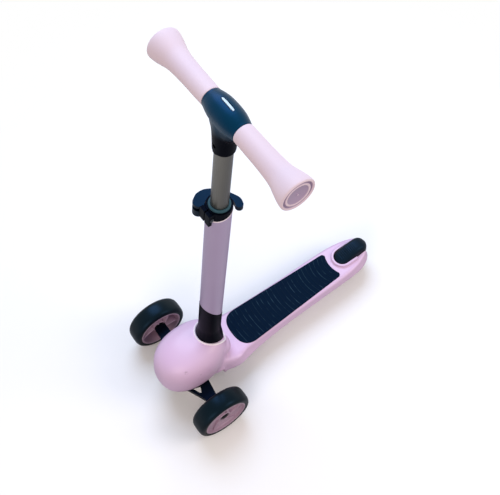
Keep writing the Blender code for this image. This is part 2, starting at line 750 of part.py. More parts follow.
def slanted_half_space(name, height, slope, above):
    """Big block on one side of a seam that climbs towards the rear by the slope."""
    size = 0.12
    low, high = (0, size) if above else (-size, 0)
    return box(name, (-size, -size, low), (size, size, high), STEM, rotation=(slope, 0, 0),
               location=(0, 0, height))


def make_deck_shell():
    shell = deck_body(body_plastic())
    rim_rear = WHEELBASE + RIM_LIP_PAST_AXLE
    rim_outline = stadium(SLOT_HALF_WIDTH + RIM_LIP_WIDTH, SLOT_FRONT_Y - RIM_LIP_WIDTH, rim_rear)
    rim = plate("slot_rim", rim_outline, RIM_LIP_FOOT_Z, RIM_LIP_TOP_Z, DATUM)
    lugs = rod("lug_form", LUG_RADIUS, -LUG_OUTSIDE, LUG_OUTSIDE, REAR_AXLE)
    neck = LUG_RADIUS * LUG_NECK_SHARE
    lug_necks = box("lug_necks", (-LUG_OUTSIDE, WHEELBASE - neck, REAR_AXLE_Z),
                    (LUG_OUTSIDE, WHEELBASE + neck, DECK_BOTTOM_Z + CUT_PAST), DATUM)
    join(shell, cheeks(), dome_form("dome_form", 0, 28, 16), rim, lugs, lug_necks)
    below_dome = box("below_dome", (-NOSE_REACH, -NOSE_REACH, NOSE_LOW_Z),
                     (NOSE_REACH, DECK_START_Y - SEAT_GAP / 3, DOME_CUT_Z), DATUM)
    arm_window = box("arm_window", (-NOSE_REACH, -ARM_WINDOW_FRONT, NOSE_LOW_Z),
                     (NOSE_REACH, ARM_WINDOW_REAR, ARM_WINDOW_TOP_Z), DATUM)
    cut(shell, below_dome, dome_cavity(), arm_window)
    flare = socket_profile(SEAT_GAP)
    seat = turned("socket_seat", [(0, SOCKET_TOP), *flare, (0, SOCKET_FOOT - SEAT_GAP)], STEM, closed=False,
                  steps=28)
    core_bore = rod("core_bore", STEM_CORE_RADIUS + SEAT_GAP, STEM_CORE_FOOT - SEAT_GAP, SOCKET_TOP, STEM)
    bolt_bore = rod("stem_bolt_bore", STEM_BOLT_RADIUS + SEAT_GAP, -NOSE_REACH, NOSE_REACH, STEM, steps=16,
                    rotation=(0, math.pi / 2, 0), location=(0, 0, STEM_BOLT_HEIGHT))
    cut(shell, seat, core_bore, bolt_bore)
    cut(shell, plate("pad_seat", pad_outline(-SEAT_GAP), DECK_TOP_Z - PAD_SEAT_DEPTH,
                     DECK_TOP_Z + CUT_LONG / 2, DATUM))
    pitch = (DECK_POCKETS_END_Y - DECK_POCKETS_START_Y + DECK_RIB) / DECK_POCKETS
    for i in range(DECK_POCKETS):
        start = DECK_POCKETS_START_Y + pitch * i
        cut(shell, deck_pocket(i, start, start + pitch - DECK_RIB))
    slot = plate("wheel_slot", stadium(SLOT_HALF_WIDTH, SLOT_FRONT_Y, LENGTH_BEHIND + CUT_LONG),
                 -CUT_PAST, DECK_TOP_Z + CUT_LONG, DATUM)
    axle_bore = rod("axle_bore", AXLE_RADIUS + SEAT_GAP, -CUT_LONG, CUT_LONG, REAR_AXLE)
    pin_bore = rod("brake_pin_bore", BRAKE_PIN_RADIUS + SEAT_GAP, -BRAKE_PIN_HALF_LENGTH - SEAT_GAP,
                   BRAKE_PIN_HALF_LENGTH + SEAT_GAP, BRAKE_PIVOT, steps=12)
    cut(shell, slot, axle_bore, pin_bore)
    for index, (x, y) in enumerate(TRAY_SCREW_SPOTS):
        for side in (-1, 1):
            cut(shell, rod(f"tray_pilot_{index}_{side}", SCREW_RADIUS + SEAT_GAP, NOSE_LOW_Z,
                           TRAY_SCREW_TIP_Z + SCREW_TIP_ROOM, DATUM, steps=10, location=(side * x, y, 0)))
    x, y = BRACKET_SCREW_SPOT
    for side in (-1, 1):
        cut(shell, rod(f"bracket_pilot_{side}", SCREW_RADIUS + SEAT_GAP, BRACKET_PLATE_Z,
                       BRACKET_SCREW_TIP_Z + SCREW_TIP_ROOM, DATUM, steps=10, location=(side * x, y, 0)))
    return shell


def make_pad():
    top = PAD_TOP_Z
    pad = plate("deck_pad", pad_outline(0), DECK_TOP_Z - PAD_SEAT_DEPTH + SEAT_GAP, top, DATUM, pad_rubber())
    return pad


# Truck and the parts under the dome


def tray_rings(scale_low, inset, low, high):
    rings = []
    for height, scale in ((low, scale_low), (high, 1.0)):
        outline = dome_section(DOME_CUT_Z, scale, inset, 24)
        rear = DECK_START_Y - SEAT_GAP - inset
        rings.append([(x, min(y, rear), height) for x, y in outline])
    return rings


def make_underbody_cover():
    cover = loft("underbody_cover", tray_rings(TRAY_TAPER, 0, TRAY_FLOOR_Z, DOME_CUT_Z - SEAT_GAP), DATUM,
                 black_plastic())
    inside = loft("tray_inside", tray_rings(TRAY_TAPER, TRAY_WALL, TRAY_FLOOR_Z + TRAY_WALL,
                                             TRAY_TAPER_TOP_Z), DATUM)
    cut(cover, inside)
    cut(cover, box("tray_arm_window", (-NOSE_REACH, -ARM_WINDOW_FRONT, TRAY_FLOOR_Z + TRAY_WALL + BOSS_PROUD),
                   (NOSE_REACH, ARM_WINDOW_REAR, NOSE_REACH), DATUM))
    join(cover, rod("tray_pin_boss", KINGPIN_RADIUS + TRAY_PIN_BOSS_WALL, KINGPIN_LOW - TRAY_PIN_BOSS_FLOOR,
                    KINGPIN_LOWER_SEAT, KINGPIN))
    cut(cover, rod("tray_pin_bore", KINGPIN_RADIUS + SEAT_GAP, KINGPIN_LOW - SEAT_GAP, KINGPIN_HIGH,
                   KINGPIN))
    for index, (x, y) in enumerate(TRAY_SCREW_SPOTS):
        for side in (-1, 1):
            spot = (side * x, y, 0)
            post = rod(f"tray_column_{index}_{side}", SCREW_POST_RADIUS, TRAY_FLOOR_Z + TRAY_WALL / 2,
                       DOME_CUT_Z - SEAT_GAP - BOSS_PROUD, DATUM, steps=10, location=spot)
            head_top = TRAY_FLOOR_Z + SCREW_HEAD_HEIGHT + SEAT_GAP
            hole, recess = SCREW_RADIUS + SEAT_GAP, SCREW_HEAD_RADIUS + SEAT_GAP
            stepped = [(0, NOSE_REACH), (hole, NOSE_REACH), (hole, head_top), (recess, head_top),
                       (recess, NOSE_LOW_Z), (0, NOSE_LOW_Z)]
            join(cover, post)
            cut(cover, turned(f"tray_hole_{index}_{side}", stepped, DATUM, closed=False, steps=10,
                              location=spot))
    return cover


def screw_profile(head_low, tip):
    shank = head_low + SCREW_HEAD_HEIGHT
    return [(0, tip), (SCREW_RADIUS, tip - SCREW_RADIUS), (SCREW_RADIUS, shank), (SCREW_HEAD_RADIUS, shank),
            (SCREW_HEAD_RADIUS, head_low + SCREW_HEAD_CHAMFER * 0.75),
            (SCREW_HEAD_RADIUS - SCREW_HEAD_CHAMFER, head_low), (0, head_low)]


def make_cover_screws():
    names = {(0, 1): "front_left", (0, -1): "front_right", (1, 1): "rear_left", (1, -1): "rear_right"}
    for (index, side), word in names.items():
        x, y = TRAY_SCREW_SPOTS[index]
        turned(f"cover_screw_{word}", screw_profile(TRAY_FLOOR_Z, TRAY_SCREW_TIP_Z), DATUM, steel(),
               closed=False, steps=10, location=(side * x, y, 0))
    x, y = BRACKET_SCREW_SPOT
    for side, word in ((1, "left"), (-1, "right")):
        low = BRACKET_PLATE_Z - SEAT_GAP - SCREW_HEAD_HEIGHT
        turned(f"bracket_screw_{word}", screw_profile(low, BRACKET_SCREW_TIP_Z), DATUM, steel(), closed=False,
               steps=10, location=(side * x, y, 0))


def make_bracket():
    x, y = BRACKET_SCREW_SPOT
    top = BRACKET_PLATE_Z + BRACKET_PLATE_THICKNESS
    bracket = box("truck_bracket", (-x - BRACKET_SIDE, y - BRACKET_EDGE, BRACKET_PLATE_Z),
                  (x + BRACKET_SIDE, BRACKET_REAR_Y, top), DATUM, black_plastic())
    join(bracket, rod("bracket_boss", KINGPIN_RADIUS + BRACKET_BOSS_WALL, KINGPIN_UPPER_SEAT,
                      KINGPIN_UPPER_SEAT + PIN_BOSS_LENGTH, KINGPIN))
    cut(bracket, rod("bracket_bush_room", TRUCK_BOSS_RADIUS + TRUCK_BOSS_ROOM, TRUCK_BOSS_LOW,
                     KINGPIN_UPPER_SEAT, KINGPIN))
    cut(bracket, rod("bracket_pin_bore", KINGPIN_RADIUS + SEAT_GAP, KINGPIN_LOW, KINGPIN_HIGH + SEAT_GAP,
                     KINGPIN))
    for side in (-1, 1):
        cut(bracket, rod(f"bracket_hole_{side}", SCREW_RADIUS + SEAT_GAP, BRACKET_PLATE_Z - CUT_PAST,
                         NOSE_TOP_Z, DATUM, steps=12, location=(side * x, y, 0)))
    return bracket


def truck_outline():
    """Half of the arm in plan, with its slim front strut running out to the axle end."""
    end = FRONT_WHEEL_X - HUB_FACE - SEAT_GAP - TRUCK_ARM_END_TO_HUB
    arm = TRUCK_ARM_HALF_WIDTH
    return [*TRUCK_FRONT_EDGE, (end, -arm), (end, arm), *TRUCK_REAR_EDGE], end


def make_truck():
    half, end = truck_outline()
    outline = half + [(-x, y) for x, y in reversed(half[1:-1])]
    low = FRONT_AXLE_Z - TRUCK_PLATE_THICKNESS / 2
    high = FRONT_AXLE_Z + TRUCK_PLATE_THICKNESS / 2
    windows = [TRUCK_WINDOW, [(-x, y) for x, y in reversed(TRUCK_WINDOW)]]
    arm = plate("truck_arm", outline, low, high, DATUM, black_plastic(), holes=windows)
    room = TRUCK_BOSS_RADIUS + TRUCK_BOSS_ROOM
    clear_low = rod("truck_low_room", room, -CUT_LONG, TRUCK_BOSS_LOW + BOSS_PROUD, KINGPIN)
    clear_high = rod("truck_high_room", room, TRUCK_BOSS_HIGH - BOSS_PROUD, CUT_LONG, KINGPIN)
    cut(arm, clear_low, clear_high)
    join(arm, rod("truck_boss", TRUCK_BOSS_RADIUS, TRUCK_BOSS_LOW, TRUCK_BOSS_HIGH, KINGPIN))
    boss_reach = end + TRUCK_ARM_END_TO_HUB
    for side in (-1, 1):
        join(arm, rod(f"truck_axle_boss_{side}", AXLE_RADIUS + AXLE_COLLAR_WALL, end - SPOKE_LAP, boss_reach,
                      DATUM, rotation=(0, side * math.pi / 2, 0), location=(0, 0, FRONT_AXLE_Z)))
    cut(arm, rod("truck_pin_bore", KINGPIN_RADIUS + SLIDE_GAP, -CUT_LONG, CUT_LONG, KINGPIN))
    for side in (-1, 1):
        cut(arm, ring_bore(f"truck_axle_bore_{side}", side))
    return arm


def ring_bore(name, side):
    inner = FRONT_WHEEL_X - HUB_FACE - AXLE_THREAD_DEPTH
    return rod(name, AXLE_RADIUS + SEAT_GAP, inner - SEAT_GAP, FRONT_TRACK_OUTSIDE, DATUM, steps=24,
               rotation=(0, side * math.pi / 2, 0), location=(0, 0, FRONT_AXLE_Z))


def make_kingpin_parts():
    rod("kingpin", KINGPIN_RADIUS, KINGPIN_LOW, KINGPIN_HIGH, KINGPIN, steel())
    inner = KINGPIN_RADIUS + SEAT_GAP
    lower_top = TRUCK_BOSS_LOW - SEAT_GAP
    ring("steer_bush_lower", TRUCK_BOSS_RADIUS - LOWER_BUSH_STEP, inner, lower_top - LOWER_BUSH_LENGTH,
         lower_top, KINGPIN, bush_plastic(), steps=20)
    ring("steer_bush_upper", TRUCK_BOSS_RADIUS, inner, TRUCK_BOSS_HIGH + SEAT_GAP,
         TRUCK_BOSS_HIGH + SEAT_GAP + UPPER_BUSH_LENGTH, KINGPIN, tyre_rubber(), steps=20)


# Wheels


def wheel_tyre(name, pivot, radius, rim_radius, width):
    """Solid tyre with a softly crowned tread and round shoulders."""
    half = width / 2
    depth = radius - rim_radius
    outer = [(rim_radius + SEAT_GAP + (depth - SEAT_GAP) * up, half * side) for up, side in TYRE_SHAPE]
    profile = outer + [(r, -h) for r, h in reversed(outer)]
    return turned(name, profile, pivot, tyre_rubber(), steps=WHEEL_STEPS)


def wheel_hub(name, pivot, rim_radius, width):
    """Rim, a dished web near the outer face, bearing boss and straight ribs on both faces."""
    half = width / 2 * RIM_FACE_SHARE
    boss = BEARING_RADIUS + BOSS_WALL
    bore = BEARING_RADIUS + SEAT_GAP
    face = HUB_FACE
    inner_rim = rim_radius - RIM_THICKNESS
    at_rim = half * WEB_RIM_SHARE
    at_boss = half * WEB_BOSS_SHARE
    profile = [(inner_rim, half), (rim_radius, half), (rim_radius, -half), (inner_rim, -half),
               (inner_rim, at_rim - WEB_THICKNESS), (boss, at_boss - WEB_THICKNESS), (boss, -face),
               (bore, -face), (bore, face), (boss, face), (boss, at_boss), (inner_rim, at_rim)]
    hub = turned(name, profile, pivot, wheel_plastic(), steps=WHEEL_STEPS)
    for i in range(SPOKE_COUNT):
        turn = 2 * math.pi * i / SPOKE_COUNT
        low = -half * INNER_SPOKE_SHARE
        high = at_rim + OUTER_SPOKE_RISE
        spoke = box(f"{name}_spoke_{i}", (boss - SPOKE_LAP, -SPOKE_THICKNESS / 2, low),
                    (inner_rim + SPOKE_LAP, SPOKE_THICKNESS / 2, high), pivot, rotation=(0, 0, turn))
        join(hub, spoke)
    return hub


def bearings_and_spacer(prefix, pivot, words):
    inner = AXLE_RADIUS + SEAT_GAP
    for sign, word in words:
        low, high = BEARING_SPREAD / 2, HUB_FACE
        if sign < 0:
            low, high = -high, -low
        ring(f"{prefix}_bearing_{word}", BEARING_RADIUS, inner, low, high, pivot, steel(), steps=16)
    reach = BEARING_SPREAD / 2 - SEAT_GAP
    ring(f"{prefix}_bearing_spacer", AXLE_RADIUS + BEARING_SPACER_WALL, inner, -reach, reach, pivot, steel(),
         steps=12)


def make_front_wheels():
    for side, word in ((1, "left"), (-1, "right")):
        pivot = empty(f"front_wheel_{word}_axis", (side * FRONT_WHEEL_X, 0, FRONT_AXLE_Z),
                      (0, side * math.pi / 2, 0), DATUM)
        prefix = f"front_wheel_{word}"
        wheel_tyre(f"{prefix}_tyre", pivot, FRONT_WHEEL_RADIUS, FRONT_RIM_RADIUS, FRONT_WHEEL_WIDTH)
        wheel_hub(f"{prefix}_hub", pivot, FRONT_RIM_RADIUS, FRONT_WHEEL_WIDTH)
        bearings_and_spacer(prefix, pivot, ((1, "outer"), (-1, "inner")))
        head = HUB_FACE + SEAT_GAP
        tip = -(HUB_FACE + AXLE_THREAD_DEPTH)
        profile = [(0, head + AXLE_HEAD_HEIGHT), (AXLE_HEAD_RADIUS, head + AXLE_HEAD_HEIGHT),
                   (AXLE_HEAD_RADIUS, head), (AXLE_RADIUS, head), (AXLE_RADIUS, tip), (0, tip)]
        turned(f"front_axle_bolt_{word}", profile, pivot, dark_steel(), closed=False, steps=16)


def make_rear_wheel():
    wheel_tyre("rear_wheel_tyre", REAR_AXLE, REAR_WHEEL_RADIUS, REAR_RIM_RADIUS, REAR_WHEEL_WIDTH)
    wheel_hub("rear_wheel_hub", REAR_AXLE, REAR_RIM_RADIUS, REAR_WHEEL_WIDTH)
    bearings_and_spacer("rear_wheel", REAR_AXLE, ((1, "left"), (-1, "right")))
    head = LUG_OUTSIDE + SEAT_GAP
    nut = REAR_NUT_HEIGHT
    tip = -head - nut - BOLT_END
    profile = [(0, head + AXLE_HEAD_HEIGHT), (AXLE_HEAD_RADIUS, head + AXLE_HEAD_HEIGHT),
               (AXLE_HEAD_RADIUS, head), (AXLE_RADIUS, head), (AXLE_RADIUS, tip), (0, tip)]
    turned("rear_axle_bolt", profile, REAR_AXLE, steel(), closed=False, steps=16)
    hex_nut("rear_axle_nut", AXLE_HEAD_RADIUS, AXLE_RADIUS + SEAT_GAP, -head - nut, -head, REAR_AXLE)
    low = HUB_FACE + SEAT_GAP
    for side, word in ((1, "left"), (-1, "right")):
        ends = sorted((side * low, side * (SLOT_HALF_WIDTH - SEAT_GAP)))
        ring(f"rear_spacer_{word}", AXLE_RADIUS + AXLE_COLLAR_WALL, AXLE_RADIUS + SEAT_GAP, *ends,
             REAR_AXLE, black_plastic(), steps=16)


# Brake


def brake_side_outline():
    """Side view as (y, z): a rising back over an arc that clears the wheel."""
    inner = REAR_WHEEL_RADIUS + BRAKE_WHEEL_GAP
    front = BRAKE_FRONT_Y
    rear = LENGTH_BEHIND - BRAKE_TAIL_MARGIN
    back = [(front, BRAKE_EDGE_Z)]
    back += [(front + behind, height) for behind, height in BRAKE_BACK]
    back += [(rear - ahead, height) for ahead, height in BRAKE_TAIL]
    back.append((rear, BRAKE_EDGE_Z))
    drop = BRAKE_EDGE_Z - REAR_AXLE_Z
    angle_rear = math.atan2(drop, math.sqrt(inner**2 - drop**2))
    under = arc(WHEELBASE, REAR_AXLE_Z, inner, angle_rear, math.pi - angle_rear, 12)
    return back + [(y, z) for y, z in under if front < y < rear]


def make_brake():
    outline = brake_side_outline()
    fender = plate("brake_fender", [(z, y) for y, z in outline][::-1], -BRAKE_HALF_WIDTH - CUT_PAST,
                   BRAKE_HALF_WIDTH + CUT_PAST, DATUM, black_plastic(), rotation=(0, -math.pi / 2, 0))
    plan = capsule(BRAKE_HALF_WIDTH, BRAKE_FRONT_Y, LENGTH_BEHIND - BRAKE_TAIL_MARGIN)
    keep_inside(fender, plate("brake_plan", plan, NOSE_LOW_Z, BRAKE_EDGE_Z + CUT_LONG, DATUM))
    cut(fender, rod("brake_eye", BRAKE_PIN_RADIUS + SLIDE_GAP, -CUT_LONG, CUT_LONG, BRAKE_PIVOT, steps=16))
    room = BRAKE_SPRING_HALF_LENGTH + SEAT_GAP
    reach = BRAKE_SPRING_RADIUS + SEAT_GAP
    cut(fender, box("spring_room", (-room, BRAKE_PIN_Y - reach, DECK_BOTTOM_Z),
                    (room, BRAKE_PIN_Y + reach, BRAKE_PIN_Z + reach), DATUM))
    rod("brake_pin", BRAKE_PIN_RADIUS, -BRAKE_PIN_HALF_LENGTH, BRAKE_PIN_HALF_LENGTH, BRAKE_PIVOT, steel(),
        steps=12)
    ring("brake_spring", BRAKE_SPRING_RADIUS, BRAKE_PIN_RADIUS + SEAT_GAP, -BRAKE_SPRING_HALF_LENGTH,
         BRAKE_SPRING_HALF_LENGTH, BRAKE_PIVOT, steel(), steps=16)
    return fender


# Stem


def make_stem():
    flare = socket_profile(0)
    socket = turned("stem_socket", [(STEM_CORE_RADIUS + SEAT_GAP, SOCKET_TOP), *flare,
                                    (STEM_CORE_RADIUS + SEAT_GAP, SOCKET_FOOT)], STEM, black_plastic())
    cut(socket, slanted_half_space("socket_top_cut", SEAM_HEIGHT - SEAT_GAP, SEAM_SLOPE, True))
    sleeve = ring("stem_sleeve", STEM_SLEEVE_RADIUS, STEM_CORE_RADIUS + SEAT_GAP, SOCKET_FLARE_START,
                  COLLAR_TOP + CUT_PAST, STEM, body_plastic())
    cut(sleeve, slanted_half_space("sleeve_foot_cut", SEAM_HEIGHT, SEAM_SLOPE, False))
    cut(sleeve, slanted_half_space("sleeve_top_cut", COLLAR_SEAM_HEIGHT - SEAT_GAP, COLLAR_SEAM_SLOPE, True))
    core = ring("stem_core", STEM_CORE_RADIUS, STEM_CORE_RADIUS - STEM_CORE_WALL, STEM_CORE_FOOT, COLLAR_TOP,
                STEM, aluminium(), steps=28)
    cut(core, rod("core_bolt_bore", STEM_BOLT_RADIUS + SEAT_GAP, -CUT_LONG, CUT_LONG, STEM, steps=16,
                  rotation=(0, math.pi / 2, 0), location=(0, 0, STEM_BOLT_HEIGHT)))
    across = {"rotation": (0, math.pi / 2, 0), "location": (0, 0, STEM_BOLT_HEIGHT)}
    seat = STEM_BOSS_RADIUS + SEAT_GAP
    top, tip = seat + STEM_BOLT_HEAD_HEIGHT, -seat - STEM_NUT_HEIGHT - BOLT_END
    profile = [(0, top), (STEM_BOLT_HEAD_RADIUS, top), (STEM_BOLT_HEAD_RADIUS, seat), (STEM_BOLT_RADIUS, seat),
               (STEM_BOLT_RADIUS, tip), (0, tip)]
    turned("stem_bolt", profile, STEM, steel(), closed=False, steps=16, **across)
    hex_nut("stem_nut", STEM_BOLT_HEAD_RADIUS, STEM_BOLT_RADIUS + SEAT_GAP, -seat - STEM_NUT_HEIGHT, -seat,
            STEM, **across)


def make_clamp():
    inner = STEM_CORE_RADIUS + SEAT_GAP
    collar = ring("clamp_collar", COLLAR_RADIUS, inner, EAR_FOOT, COLLAR_TOP, STEM, black_plastic())
    cut(collar, slanted_half_space("collar_foot_cut", COLLAR_SEAM_HEIGHT, COLLAR_SEAM_SLOPE, False))
    side = EAR_SLIT / 2 + EAR_THICKNESS
    ears = box("ear_form", (-side, -EAR_REACH, EAR_FOOT),
               (side, -STEM_SLEEVE_RADIUS - 2 * SEAT_GAP, COLLAR_TOP - EAR_BELOW_TOP), STEM)
    ear_roots = box("ear_roots", (-side + EAR_STEP, -STEM_SLEEVE_RADIUS - 4 * EAR_STEP,
                                  COLLAR_SEAM_HEIGHT - EAR_ROOT_DEPTH),
                    (side - EAR_STEP, -STEM_SLEEVE_RADIUS * 0.8, COLLAR_TOP - EAR_BELOW_TOP - EAR_STEP), STEM)
    room_foot, room_top = COLLAR_TOP - CUT_LONG, COLLAR_TOP + CUT_LONG
    cut(ear_roots, rod("ear_root_room", inner + EAR_STEP, room_foot, room_top, STEM))
    join(collar, ears, ear_roots)
    cut(collar, box("ear_slit", (-EAR_SLIT / 2, -CUT_LONG, room_foot),
                    (EAR_SLIT / 2, -STEM_CORE_RADIUS / 2, room_top), STEM))
    across = {"rotation": (0, math.pi / 2, 0), "location": (0, -CLAMP_BOLT_REACH, CLAMP_BOLT_HEIGHT)}
    cut(collar, rod("clamp_bolt_bore", CLAMP_BOLT_RADIUS + SEAT_GAP, -CUT_LONG, CUT_LONG, STEM, steps=16,
                    **across))
    seat = side - CLAMP_NUT_SINK
    cut(collar, rod("clamp_nut_seat", CLAMP_NUT_RADIUS + 2 * SEAT_GAP, seat, CUT_LONG, STEM, steps=20,
                    **across))
    end = seat + CLAMP_NUT_THICKNESS + CLAMP_BOLT_END
    bolt = rod("clamp_bolt", CLAMP_BOLT_RADIUS, CLAMP_PIVOT_X + BOLT_END, end, STEM, steel(), steps=16,
               **across)
    eye_half = CAM_SLOT_HEIGHT / 2 - SLIDE_GAP
    eye = rod("clamp_eye", CLAMP_EYE_RADIUS, CLAMP_BOLT_HEIGHT - eye_half, CLAMP_BOLT_HEIGHT + eye_half,
              LEVER_PIVOT, steps=20)
    join(bolt, eye)
    cut(bolt, rod("clamp_eye_bore", CLAMP_BOLT_RADIUS + SLIDE_GAP, room_foot, room_top, LEVER_PIVOT, steps=16))
    hex_nut("clamp_nut", CLAMP_NUT_RADIUS, CLAMP_BOLT_RADIUS + SEAT_GAP, seat + SEAT_GAP,
            seat + CLAMP_NUT_THICKNESS, STEM, **across)
    wall = STEM_CORE_RADIUS - STEM_CORE_WALL - SEAT_GAP
    bore = POST_RADIUS + SLIDE_GAP
    flange_foot = COLLAR_TOP + SEAT_GAP
    flange_top = flange_foot + BUSH_FLANGE_HEIGHT
    chamfer_foot = flange_foot + BUSH_FLANGE_HEIGHT * 0.6
    profile = [(bore, flange_top), (POST_RADIUS + BUSH_LIP, flange_top), (BUSH_FLANGE_RADIUS, chamfer_foot),
               (BUSH_FLANGE_RADIUS, flange_foot), (wall, flange_foot), (wall, flange_foot - BUSH_DEPTH),
               (bore, flange_foot - BUSH_DEPTH)]
    turned("post_bush", profile, STEM, bush_plastic(), steps=28)
    return collar


def round_both_ends(first, second):
    """Outline round two circles, each given as (x, y, radius)."""
    (x0, y0, r0), (x1, y1, r1) = first, second
    heading = math.atan2(y1 - y0, x1 - x0)
    spread = math.acos((r0 - r1) / math.hypot(x1 - x0, y1 - y0))
    back = arc(x0, y0, r0, heading + spread, heading + 2 * math.pi - spread, 10)
    return back + arc(x1, y1, r1, heading - spread, heading + spread, 10)


def make_lever():
    """Cam lever that wraps round the back of the collar when closed, waisted behind the post."""
    outline = []
    for degrees in spaced(LEVER_TIP_ANGLE, LEVER_ROOT_ANGLE, 18):
        turn, radius = math.radians(degrees), along(LEVER_OUTER_RADII, degrees)
        outline.append((radius * math.cos(turn), radius * math.sin(turn)))
    for degrees in spaced(LEVER_ROOT_ANGLE, LEVER_TIP_ANGLE, 14):
        turn, radius = math.radians(degrees), along(LEVER_INNER_RADII, degrees)
        outline.append((radius * math.cos(turn), radius * math.sin(turn)))
    inner, outer = LEVER_INNER_RADII[0][1], LEVER_OUTER_RADII[0][1]
    turn, middle = math.radians(LEVER_TIP_ANGLE), (inner + outer) / 2
    outline += arc(middle * math.cos(turn), middle * math.sin(turn), (outer - inner) / 2, turn - math.pi, turn,
                   6)[1:-1]
    lever = plate("clamp_lever", [(x - CLAMP_PIVOT_X, y + CLAMP_BOLT_REACH) for x, y in outline], LEVER_FOOT,
                  LEVER_TOP, LEVER_PIVOT, black_plastic())
    head = round_both_ends((0, 0, CAM_RADIUS), (*LEVER_HEAD_SHIFT, LEVER_HEAD_RADIUS))
    join(lever, plate("lever_head_form", head, CAM_FOOT, CAM_TOP, LEVER_PIVOT))
    cut(lever, rod("lever_collar_room", COLLAR_RADIUS + LEVER_TO_COLLAR, COLLAR_TOP - CUT_LONG,
                   COLLAR_TOP + CUT_LONG, LEVER_PIVOT, steps=48,
                   location=(-CLAMP_PIVOT_X, CLAMP_BOLT_REACH, 0)))
    half = CAM_SLOT_HEIGHT / 2
    cut(lever, rod("cam_slot", CAM_RADIUS + CAM_TO_EAR, CLAMP_BOLT_HEIGHT - half, CLAMP_BOLT_HEIGHT + half,
                   LEVER_PIVOT, steps=24))
    cut(lever, rod("cam_pin_bore", CLAMP_BOLT_RADIUS + SEAT_GAP, COLLAR_TOP - CUT_LONG, COLLAR_TOP + CUT_LONG,
                   LEVER_PIVOT, steps=16))
    rod("clamp_pin", CLAMP_BOLT_RADIUS, CAM_FOOT + CLAMP_PIN_SINK, CAM_TOP - CLAMP_PIN_SINK, LEVER_PIVOT,
        steel(), steps=16)
    return lever


# Handlebar


